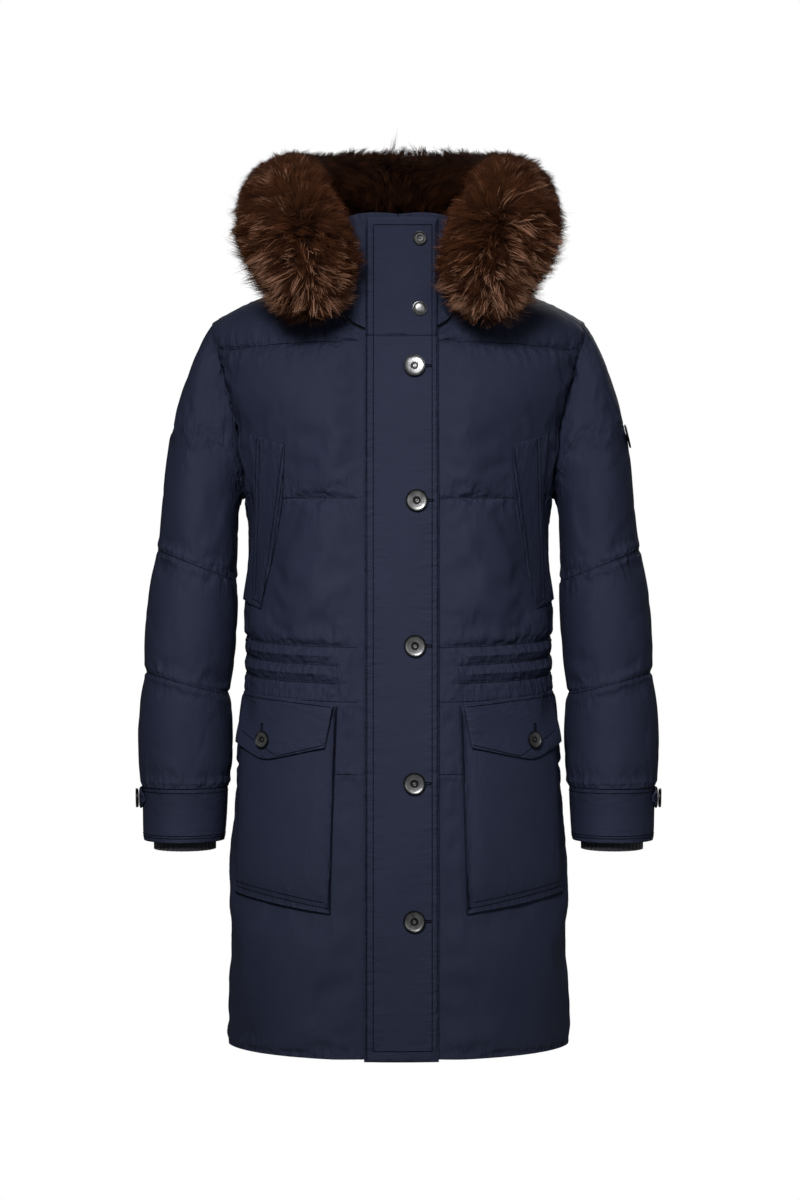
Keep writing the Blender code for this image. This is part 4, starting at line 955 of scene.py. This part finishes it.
def stitched(found, points, faces):
    """Adds a row of stitches along points on a surface, and under them a dark line, painted shade of the
    stitched groove.
    """
    spare = 0.0
    for (a, normal_a), (b, normal_b) in zip(found, found[1:]):
        gap = (b - a).length
        if gap > LINE_BREAK or gap < SHORTEST:
            spare = 0.0
            continue
        tangent = (b - a) / gap
        side = tangent.cross(normal_a).normalized()
        # Flat strip in the dark thread colour under the stitches: painted shade of the stitched groove
        start = len(points)
        for place, out in ((a, normal_a), (b, normal_b)):
            points.append(place - side * SHADE_LINE_WIDTH / 2 + out * SHADE_LINE_HEIGHT)
            points.append(place + side * SHADE_LINE_WIDTH / 2 + out * SHADE_LINE_HEIGHT)
        faces.append((start, start + 1, start + 3, start + 2))
        at = STITCH_PITCH - spare
        while at <= gap:
            middle = a + tangent * at + normal_a * SHADE_LINE_HEIGHT
            start = len(points)
            points.append(middle - tangent * STITCH_LENGTH / 2)
            points.append(middle + side * STITCH_WIDTH / 2)
            points.append(middle + tangent * STITCH_LENGTH / 2)
            points.append(middle - side * STITCH_WIDTH / 2)
            points.append(middle + normal_a * STITCH_HEIGHT)
            faces += [(start + i, start + (i + 1) % 4, start + 4) for i in range(4)]
            at += STITCH_PITCH
        spare = gap - (at - STITCH_PITCH)


def stitch_piece(name, lines, thread):
    points, faces = [], []
    for line in lines:
        stitched(line, points, faces)
    finish_piece(built(name, points, faces, thread), "navy_trim")


def front_lines(shown, rows):
    """Rows of stitches on the fronts, the pockets, the welts and the placket."""
    fronts = [tree_of(shown["front_left"], shown["front_right"])]
    lines = []
    for side, name in ((-1, "left"), (1, "right")):
        for k in range(len(QUILT)):
            inner = RIB_INNER + RIB_STEP_IN if k in RIB_ROWS else ROW_FROM
            outer = YOKE_END if k == YOKE_ROW else ROW_END
            places = [(side * x, np.interp(x, *rows[k])) for x in np.arange(inner, outer, ROW_STEP)]
            lines.append(cast_line(fronts, places, 1.0))
        for piece, outline, amount, picked in EDGE_ROWS:
            ring = inset(outline, amount)
            line = [(side * ring[i][0], ring[i][1]) for i in picked]
            if outline is not WELT:
                line.append(carried_on(line[-2], line[-1], EDGE_REACH))
            lines.append(cast_line([tree_of(shown[piece + name])], along(line, EDGE_STEP), 1.0))
    placket = [tree_of(shown["placket_lower"]), tree_of(shown["placket_upper"])]
    left, right = PLACKET_LEFT + PLACKET_INSETS[0], PLACKET_RIGHT - PLACKET_INSETS[1]
    low, high = PLACKET_BOTTOM + PLACKET_INSETS[2], PLACKET_TOP - PLACKET_INSETS[3]
    edge = PLACKET_LEFT + PLACKET_EDGE
    for corners in (
        ((left, high), (left, low), (right, low), (right, high), (left, high)),
        ((edge, PLACKET_TOP), (edge, PLACKET_BOTTOM)),
    ):
        lines.append(cast_line(placket, along(corners, ROW_STEP), 1.0))
    return lines


def back_lines(shown, rows):
    tree = [tree_of(shown["back"])]
    lines = []
    for k in range(len(QUILT)):
        outer = YOKE_END if k == YOKE_ROW else ROW_END
        places = [(x, np.interp(abs(x), *rows[k])) for x in np.arange(-outer, outer, ROW_STEP)]
        lines.append(cast_line(tree, places, -1.0))
    return lines


def sleeve_lines(shown, side, name):
    """Rings of stitches at the sleeve's quilting rows and on its cuff."""
    trees = {"sleeve_": tree_of(shown["sleeve_" + name]), "cuff_": tree_of(shown["cuff_" + name])}
    rows = [("sleeve_", *row) for row in SLEEVE[:2]] + [("cuff_", *row) for row in CUFF_ROWS]
    lines = []
    for piece, x, y, z, tilt in rows:
        ring = []
        lean = math.radians(tilt)
        for turn in np.linspace(0, 2 * math.pi, RING_POINTS):
            out = Vector((math.cos(turn) * math.cos(lean), math.sin(turn), math.cos(turn) * math.sin(lean)))
            start = Vector((x, y, z)) + out * RING_REACH
            start.x *= side
            aim = Vector((-out.x * side, -out.y, -out.z))
            place = trees[piece].ray_cast(start, aim)[0]
            if place is not None:
                ring.append((place, -aim))
        lines.append(ring)
    return lines


def stitching(shown, front_rows, back_rows, thread):
    """All rows of stitches, one piece for the front, one for the back and one for each sleeve and cuff."""
    stitch_piece("stitches_front", front_lines(shown, front_rows), thread)
    stitch_piece("stitches_back", back_lines(shown, back_rows), thread)
    for side, name in ((-1, "left"), (1, "right")):
        stitch_piece("stitches_sleeve_" + name, sleeve_lines(shown, side, name), thread)


# Buttons, snaps and badge

def disc_frame(node):
    """Middle of the underside, outward direction, radius and thickness of a round CAD node."""
    points = np.array([v.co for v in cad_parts[node].data.vertices])
    points = np.unique(np.round(points, 7), axis=0)
    middle = points.mean(axis=0)
    _, _, axes = np.linalg.svd(points - middle)
    out = axes[2]
    axis_x = 0.0 if abs(middle[0]) < ON_SLEEVE else np.sign(middle[0]) * SLEEVE_MIDDLE
    if out @ (middle - np.array([axis_x, 0.0, middle[2]])) < 0:
        out = -out
    heights = (points - middle) @ out
    flat = points - middle - np.outer(heights, out)
    radius = np.linalg.norm(flat, axis=1).max()
    return middle + out * heights.min(), out, radius, heights.max() - heights.min()


def turned(name, node, profile, sides, material, darkened_rings):
    """Turned piece: rings at shares of the radius and of the thickness, on the CAD node's place."""
    base, out, radius, thickness = disc_frame(node)
    across = unit(np.cross(out, np.array([0.0, 0.0, 1.0])))
    up = np.cross(across, out)
    points = []
    for share, height in profile:
        for j in range(sides):
            turn = 2 * math.pi * j / sides
            flat = (across * math.cos(turn) + up * math.sin(turn)) * radius * share
            points.append(base + flat + out * thickness * height)
    ends = [tuple(range(sides)), tuple(reversed(range(len(points) - sides, len(points))))]
    faces = ring_faces(len(profile), sides, False) + ends
    obj = built(name, points, faces, material)
    # Rings in the darkened ranges keep only a share of their tone: on the snaps this is painted shade
    ring_darkening = [DARKENED_TONE if any(low < share < high for low, high in darkened_rings) else 1.0 for share, _ in profile]
    add_layer(obj, "ring_darkening", np.repeat(ring_darkening, sides))
    faced_out(obj)
    obj.data.set_sharp_from_angle(angle=TURNED_SHARP)
    return finish_piece(obj, "gunmetal", node)


def fastenings():
    dark, bright, badge = (metal_finish(name) for name in METALS)
    for i in range(1, BUTTONS + 1):
        turned(f"shown_button_{i}", f"button_{i}", BUTTON_PROFILE, BUTTON_SIDES, dark, BUTTON_DARK_RINGS)
    turned("shown_snap_socket", "snap_1", SOCKET_PROFILE, SNAP_SIDES, bright, SOCKET_PAINTED_SHADE)
    turned("shown_snap_dome", "snap_2", DOME_PROFILE, SNAP_SIDES, bright, DOME_PAINTED_SHADE)
    for side in ("left", "right"):
        for node in ("pocket_button_" + side, "cuff_button_" + side):
            turned("shown_" + node, node, BUTTON_PROFILE, SNAP_SIDES, dark, BUTTON_DARK_RINGS)
    turned("shown_badge", "sleeve_badge", BADGE_PROFILE, BUTTON_SIDES, badge, BUTTON_DARK_RINGS)


def buttonhole(name, cloth, x, z, length, upright, thread):
    """Narrow ring of close thread round a slit, on the surface."""
    place, out, _, _ = tree_of(cloth).ray_cast(Vector((x, -VIEW_Y, z)), Vector((0, 1, 0)))
    if place is None:
        return
    out = out if out.y < 0 else -out
    line = Vector((0, 0, 1)) if upright else Vector((1, 0, 0))
    line = (line - out * line.dot(out)).normalized()
    side = out.cross(line)
    points = []
    for i in range(HOLE_SIDES):
        turn = 2 * math.pi * i / HOLE_SIDES
        straight = (length / 2 - HOLE_END) * (1 if math.cos(turn) > 0 else -1)
        centre = place + line * (straight + math.cos(turn) * HOLE_END) + side * math.sin(turn) * HOLE_END
        outward = (line * math.cos(turn) + side * math.sin(turn)).normalized()
        for j in range(HOLE_ROUNDS):
            a = 2 * math.pi * j / HOLE_ROUNDS
            arm = outward * math.cos(a) * 0.8 + out * (math.sin(a) * 0.7 + 0.3)
            points.append(centre + arm * HOLE_THREAD)
    obj = built(name, points, ring_faces(HOLE_SIDES, HOLE_ROUNDS, True), thread)
    finish_piece(faced_out(obj), "navy_trim")


def buttonholes(shown, thread):
    for i in range(1, BUTTONS + 1):
        low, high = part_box(f"button_{i}")
        x, z = high.x + PLACKET_HOLE_GAP, (low.z + high.z) / 2
        buttonhole(f"buttonhole_{i}", shown["placket_lower"], x, z, PLACKET_HOLE, False, thread)
    for side in ("left", "right"):
        low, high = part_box("pocket_button_" + side)
        x, z = (low.x + high.x) / 2, high.z + FLAP_HOLE_GAP
        buttonhole("flap_buttonhole_" + side, shown["pocket_flap_" + side], x, z, FLAP_HOLE, True, thread)


# Knit cuffs

def knit_cuff(name, material):
    """Ribbed tube with small stitches raised on each rib, over a plain inside."""
    low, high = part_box("knit_cuff_" + name)
    middle_x, middle_y = (low.x + high.x) / 2, (low.y + high.y) / 2
    columns = KNIT_RIBS * KNIT_COLUMNS
    turn = np.arange(columns) * 2 * math.pi / columns
    flare_from, flare_over, flare_by = KNIT_FLARE
    rib = KNIT_RIB * (0.5 + 0.5 * np.cos(turn * KNIT_RIBS)) ** KNIT_RIB_POWER
    outside = [(k / KNIT_ROWS, 0.0) for k in range(KNIT_ROWS + 1)]
    levels = [(0.0, KNIT_WALL)] + outside + [(1.0, KNIT_WALL), KNIT_INSIDE]
    points = []
    for share, inward in levels:
        wider = KNIT_GROWTH * share + smooth_step((share - flare_from) / flare_over) * flare_by + inward
        loop = KNIT_LOOP * np.cos(turn * KNIT_RIBS * 2 + share * KNIT_ROWS * 2 * math.pi)
        raised = (rib + loop) if inward == 0.0 else np.zeros(columns)
        xs = middle_x + (KNIT_RADII[0] + wider + raised) * np.cos(turn)
        ys = middle_y + (KNIT_RADII[1] + wider + raised) * np.sin(turn)
        points += list(np.stack([xs, ys, np.full(columns, low.z + (high.z - low.z) * share)], -1))
    obj = built("shown_knit_" + name, points, ring_faces(len(levels), columns, True), material)
    finish_piece(obj, "navy_knit", "knit_cuff_" + name)


# Fur

def curve_through(table, count):
    """Smooth line through a table of points."""
    rows = np.array(table)
    slopes = np.gradient(rows, axis=0)
    places = np.linspace(0, len(rows) - 1, count)
    k = np.clip(places.astype(int), 0, len(rows) - 2)
    s = (places - k)[:, None]
    start = (1 + 2 * s) * (1 - s) ** 2 * rows[k] + s * (1 - s) ** 2 * slopes[k]
    return start + s * s * (3 - 2 * s) * rows[k + 1] + s * s * (s - 1) * slopes[k + 1]


def fur_line():
    right = curve_through(FUR, FUR_STEPS)
    left = right[-2::-1] * np.array([-1.0, 1.0, 1.0])
    return np.concatenate([right, left])


def nearest_on(line, points):
    tree = kd_of(line)
    return np.array([tree.find(Vector(p))[1] for p in points])


def fur_core(material, hood_tree):
    """Body of the fur, drawn in by the length of the hair but not where it sits on the hood."""
    obj = copy_of("fur_trim", "fur_core", material, 1)
    points, _ = arrays(obj)
    gaps = np.array([hood_tree.find_nearest(Vector(p))[3] for p in points])
    near = 1 - smooth_step((gaps - FUR_SEAT_GAP[0]) / FUR_SEAT_GAP[1])
    seated = near * smooth_step((points[:, 1] - FUR_SEAT_Y[0]) / FUR_SEAT_Y[1])
    shell = FUR_SHELL * (1 - FUR_SEAT_SHARE * seated[:, None])
    line = fur_line()
    centre = line[nearest_on(line, points)]
    arm = points - centre
    reach = np.linalg.norm(arm, axis=1, keepdims=True)
    core = centre + arm * np.maximum(1 - shell / np.maximum(reach, 1e-6), FUR_LEAST)
    share, height, growth = FUR_NARROW
    narrow = share * smooth_step((core[:, 2] - height) / growth)
    share, height, growth, outer = FUR_WIDE
    wide = share * np.exp(-(((core[:, 2] - height) / growth) ** 2)) * (np.abs(core[:, 0]) > outer)
    core[:, 0] *= 1 - narrow + wide
    set_points(obj, core)
    finish_piece(obj, "brown_fur", "fur_trim")
    return obj


def sampled(obj, count, random):
    """Random points over a mesh, with smooth normals."""
    mesh = obj.data
    mesh.calc_loop_triangles()
    points, normals = arrays(obj)
    corners = np.zeros(len(mesh.loop_triangles) * 3, int)
    mesh.loop_triangles.foreach_get("vertices", corners)
    corners = corners.reshape(-1, 3)
    a, b, c = (points[corners[:, k]] for k in range(3))
    area = np.linalg.norm(np.cross(b - a, c - a), axis=1)
    pick = random.choice(len(corners), size=count, p=area / area.sum())
    u = random.random(count)
    v = random.random(count)
    flip = u + v > 1
    u[flip], v[flip] = 1 - u[flip], 1 - v[flip]
    weights = np.stack([1 - u - v, u, v], -1)[..., None]
    place = (points[corners[pick]] * weights).sum(axis=1)
    normal = unit((normals[corners[pick]] * weights).sum(axis=1))
    return place, normal


def combed(place, normal):
    """Direction along the surface in which the hair lies at each root."""
    line = fur_line()
    index = nearest_on(line, place)
    tangent = unit(np.gradient(line, axis=0))[index]
    pole = unit(np.array(FUR_POLE))
    arm = unit(place - line[index])
    spread = arm - (arm @ pole)[:, None] * pole
    flow = tangent * np.sign(tangent[:, 1])[:, None] * np.abs(tangent[:, 1:2])
    comb = spread + 0.55 * flow
    comb = comb - facing(comb, normal)[:, None] * normal
    return comb / np.maximum(np.linalg.norm(comb, axis=1, keepdims=True), 0.35)


def clear_length(tree, place, way):
    """How far a hair can run before it meets the cloth."""
    gap = tree.ray_cast(Vector(place), Vector(way), HAIR_SIGHT)[3]
    return 1.0 if gap is None else min(1.0, gap)


def hair(core, tree, count, random, share):
    """Root, middle and tip of each hair, the normal under it and the clump it belongs to."""
    place, normal = sampled(core, count, random)
    comb = combed(place, normal)
    jitter = random.normal(size=place.shape)
    lean = 0.55 + 0.85 * random.random((count, 1))
    way = unit(normal + comb * lean + jitter * 0.30)
    length = FUR_SHELL / np.clip(facing(way, normal), 0.45, 1.0) * (0.72 + 0.55 * random.random(count))
    length = np.where(random.random(count) < 0.12, length * 1.25, length) * share
    free = np.array([clear_length(tree, p, w) for p, w in zip(place, way)])
    keep = free > HAIR_CLEAR
    kept = (array[keep] for array in (place, normal, comb, way, length, free))
    place, normal, comb, way, length, free = kept
    count = len(place)
    clumps = random.choice(count, size=count // CLUMP_HAIRS, replace=False)
    number = nearest_on(place[clumps], place)
    mine = clumps[number]
    length = length * (0.80 + 0.42 * random.random(len(clumps)))[number]
    length = np.minimum(length, free * 0.9)
    root = place - normal * HAIR_ROOT
    middle = root + way * (length * 0.55)[:, None]
    bent = unit(way + comb * 0.35 + np.array(HAIR_FALL))
    tip = middle + bent * (length * 0.50)[:, None]
    pull = (0.45 + 0.40 * random.random(count))[:, None]
    tip = tip * (1 - pull) + (tip[mine] + (root - root[mine]) * 0.12) * pull
    middle = middle * 0.78 + (middle[mine] + (root - root[mine]) * 0.6) * 0.22
    return root, middle, tip, normal, mine


def hair_colours(root, mine, random, dark):
    """Dark at the root, red-brown in the middle and paler at some tips, more so low on the lobes; hairs
    towards the back are darkened to about half, painted shade.
    """
    count = len(root)
    clump_tone = random.random(count)[mine]
    own_tone = random.random(count)
    tone = 0.55 * clump_tone + 0.45 * own_tone
    front = smooth_step((-root[:, 1] - 0.02) / 0.10)
    low = smooth_step((0.075 - root[:, 2]) / 0.11)
    outer = smooth_step((np.abs(root[:, 0]) - 0.09) / 0.06)
    pale_share = front * (0.13 + 0.36 * low + 0.14 * outer)
    pale = smooth_step((tone - (1 - pale_share)) / 0.16)[:, None] * dark
    # Towards the back of the roll the hairs keep about half their tone: painted shade on its inner side
    tone_and_back_shade = ((0.52 + 0.48 * front) * (0.45 + 1.0 * clump_tone) * (0.75 + 0.5 * own_tone))[:, None] * dark
    base, middle, end = (np.array(colour) * tone_and_back_shade for colour in (ROOT_COLOUR, MIDDLE_COLOUR, END_COLOUR))
    tan = np.array(TIP_COLOUR) * (0.6 + 0.8 * own_tone)[:, None]
    return base, middle * (1 - 0.3 * pale) + tan * 0.3 * pale, end * (1 - pale) + tan * pale


def ribbons(root, middle, tip, normal, colours, widths):
    """Corners, colours and normals of tapered hairs, which are lit as if round."""
    way = unit(tip - root)
    side = unit(np.cross(way, normal) + 1e-6)
    wide = side * widths[:, None]
    across = unit(normal - way * facing(normal, way)[:, None] * 0.8)
    left, right = unit(across - side * 0.45), unit(across + side * 0.45)
    first, second, last = colours
    places = np.stack([root - wide, root + wide, middle - wide * 0.75, middle + wide * 0.75, tip], axis=1)
    shades = np.stack([first, first, second, second, last], axis=1)
    return places, shades, np.stack([left, right, left, right, across], axis=1)


def hair_mesh(name, places, colours, normals, faces, material):
    """Mesh of many hairs, with a colour and a shading normal at each point."""
    count, corners = places.shape[:2]
    faces = (np.arange(count)[:, None, None] * corners + np.array(faces)[None]).reshape(-1, 3)
    mesh = bpy.data.meshes.new(name)
    mesh.vertices.add(count * corners)
    mesh.vertices.foreach_set("co", places.reshape(-1))
    mesh.loops.add(len(faces) * 3)
    mesh.loops.foreach_set("vertex_index", faces.reshape(-1))
    mesh.polygons.add(len(faces))
    mesh.polygons.foreach_set("loop_start", np.arange(len(faces)) * 3)
    mesh.update(calc_edges=True)
    shades = np.concatenate([colours, np.ones((count, corners, 1))], axis=2)
    layer = mesh.color_attributes.new("fur_colour", "FLOAT_COLOR", "POINT")
    layer.data.foreach_set("color", shades.reshape(-1))
    obj = new_object(name, mesh, material)
    mesh.normals_split_custom_set_from_vertices(normals.reshape(-1, 3))
    finish_piece(obj, "brown_fur")


def fur(shown):
    """Long guard hairs over a plainer underfur, in a piece for each lobe and for the back."""
    core = fur_core(underfur_finish(), tree_of(shown["hood_left"], shown["hood_right"]))
    cloth = ("front_left", "front_right", "back", "hood_left", "hood_right", "placket_upper")
    tree = tree_of(*(shown[name] for name in cloth))
    finish = hair_finish()
    random = np.random.default_rng(SEED)
    for kind, count, share, dark, width in HAIRS:
        root, middle, tip, normal, mine = hair(core, tree, count, random, share)
        colours = hair_colours(root, mine, random, dark)
        widths = width * (0.8 + 0.5 * random.random(len(root)))
        corners = ribbons(root, middle, tip, normal, colours, widths)
        faces = RIBBON_FACES
        if kind == "under":
            corners = tuple(array[:, SPIKE_CORNERS] for array in corners)
            faces = SPIKE_FACES
        for side, low, high in FUR_SIDES:
            mask = (root[:, 0] > low) & (root[:, 0] <= high)
            hair_mesh(f"fur_{kind}_{side}", *(array[mask] for array in corners), faces, finish)


# Studio

def area_light(name, place, target, size, power, spread):
    data = bpy.data.lights.new(name, "AREA")
    data.shape = "RECTANGLE"
    data.size, data.size_y = size
    data.energy = power
    data.spread = math.radians(spread)
    obj = bpy.data.objects.new(name, data)
    bpy.context.scene.collection.objects.link(obj)
    obj.location = place
    obj.rotation_euler = (Vector(target) - Vector(place)).to_track_quat("-Z", "Y").to_euler()


def pale_floor():
    material, tree, shader = shader_of("pale_floor", 0.9)
    paint(tree, shader, noise_value(tree, 3.0, 3.0, 0.5), FLOOR_TONES)
    turns = [2 * math.pi * i / FLOOR_SIDES for i in range(FLOOR_SIDES)]
    ring = [(FLOOR_RADIUS * math.cos(turn), FLOOR_RADIUS * math.sin(turn), FLOOR_Z) for turn in turns]
    built("floor", ring, [tuple(range(FLOOR_SIDES))], material)


def studio():
    scene = bpy.context.scene
    scene.view_settings.view_transform = "Standard"
    scene.view_settings.look = "None"
    world = bpy.data.worlds.new("studio")
    scene.world = world
    world.use_nodes = True
    tree = world.node_tree
    background = tree.nodes["Background"]
    background.inputs["Color"].default_value = (1.0, 1.0, 1.0, 1.0)
    rays = add_node(tree, "ShaderNodeLightPath")
    seen = math_node(tree, "MULTIPLY", rays.outputs["Is Camera Ray"], 1.0 - AMBIENT)
    tree.links.new(math_node(tree, "ADD", seen, AMBIENT), background.inputs["Strength"])
    pale_floor()
    for light in LIGHTS:
        area_light(*light)
    data = bpy.data.cameras.new("camera")
    data.lens = CAMERA_LENS
    data.sensor_width = CAMERA_SENSOR
    camera = bpy.data.objects.new("camera", data)
    scene.collection.objects.link(camera)
    camera.location = CAMERA_PLACE
    camera.rotation_euler = (math.radians(90), 0, 0)
    scene.camera = camera


# Pieces of the coat

def filled_panels(shown, shell, front_rows, back_rows):
    """Panels whose filling swells between the seams, each made from its solid."""
    body = []
    for node, seam, outward in (
        ("front_left", lambda p: torso_seam(p, front_rows, RIB_INNER), torso_outward),
        ("front_right", lambda p: torso_seam(p, front_rows, RIB_INNER), torso_outward),
        ("back", lambda p: torso_seam(p, back_rows, 0.0), torso_outward),
        ("sleeve_left", sleeve_seam, sleeve_outward),
        ("sleeve_right", sleeve_seam, sleeve_outward),
        ("hood_left", no_seam, hood_outward),
        ("hood_right", no_seam, hood_outward),
    ):
        is_sleeve = seam is sleeve_seam
        obj = copy_of(node, "shown_" + node, shell, 2, seam)
        inflate(obj, held_weights(obj, seam, outward), SLEEVE_CAP if is_sleeve else FILL_CAP)
        if is_sleeve:
            drawn_in(obj)
            filled_out(obj)
        subdivided(obj, 1)
        if seam is no_seam:
            neck_covered(obj)
            behind = smooth_step((arrays(obj)[0][:, 1] - HOOD_FOOT_FROM[0]) / HOOD_FOOT_FROM[1])
            closed_on(obj, tree_of(*body), HOOD_FOOT, behind)
        if node == "back":
            closed_on(obj, tree_of(*body), SIDE_SEAM, np.ones(len(obj.data.vertices)))
        pucker(obj, seam, *PANEL_CREASE, *(SLEEVE_FOLDS if is_sleeve else PANEL_FOLDS))
        applied(obj, "DECIMATE", ratio=PANEL_SHARE)
        crinkled(obj, seam)
        shown[node] = finish_piece(obj, "navy_shell", node)
        if outward is torso_outward:
            body.append(obj)


def plain_piece(shown, cloths, side, node, name, cloth, levels, depth, reach, folds, fill):
    obj = copy_of(node + side, name + side, cloths[cloth], levels)
    if node in LAID_PIECES:
        corner_laid(obj)
    pucker(obj, no_seam, depth, reach, folds)
    crinkled(obj, no_seam)
    shown[node + side] = finish_piece(obj, "navy_" + cloth, node + side)


def coat():
    """All pieces of cloth and what is sewn on them."""
    cloths = {name: fabric(name + "_navy", *look) for name, look in CLOTHS.items()}
    front_rows, back_rows = row_lines("front_right"), row_lines("back")
    shown = {}
    filled_panels(shown, cloths["shell"], front_rows, back_rows)
    for side in ("left", "right"):
        for row in SIDE_PIECES:
            plain_piece(shown, cloths, side, *row)
    for row in MIDDLE_PIECES:
        plain_piece(shown, cloths, "", *row)
    knit = knit_finish()
    for side in ("left", "right"):
        knit_cuff(side, knit)
    thread = thread_and_shade_finish()
    stitching(shown, front_rows, back_rows, thread)
    buttonholes(shown, thread)
    fastenings()
    fur(shown)


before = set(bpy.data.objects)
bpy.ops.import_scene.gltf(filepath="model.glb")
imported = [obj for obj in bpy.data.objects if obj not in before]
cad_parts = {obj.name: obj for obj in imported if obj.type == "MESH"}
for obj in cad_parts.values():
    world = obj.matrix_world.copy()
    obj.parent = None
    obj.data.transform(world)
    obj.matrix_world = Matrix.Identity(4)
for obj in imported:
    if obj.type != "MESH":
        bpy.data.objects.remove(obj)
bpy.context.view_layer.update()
coat()
studio()
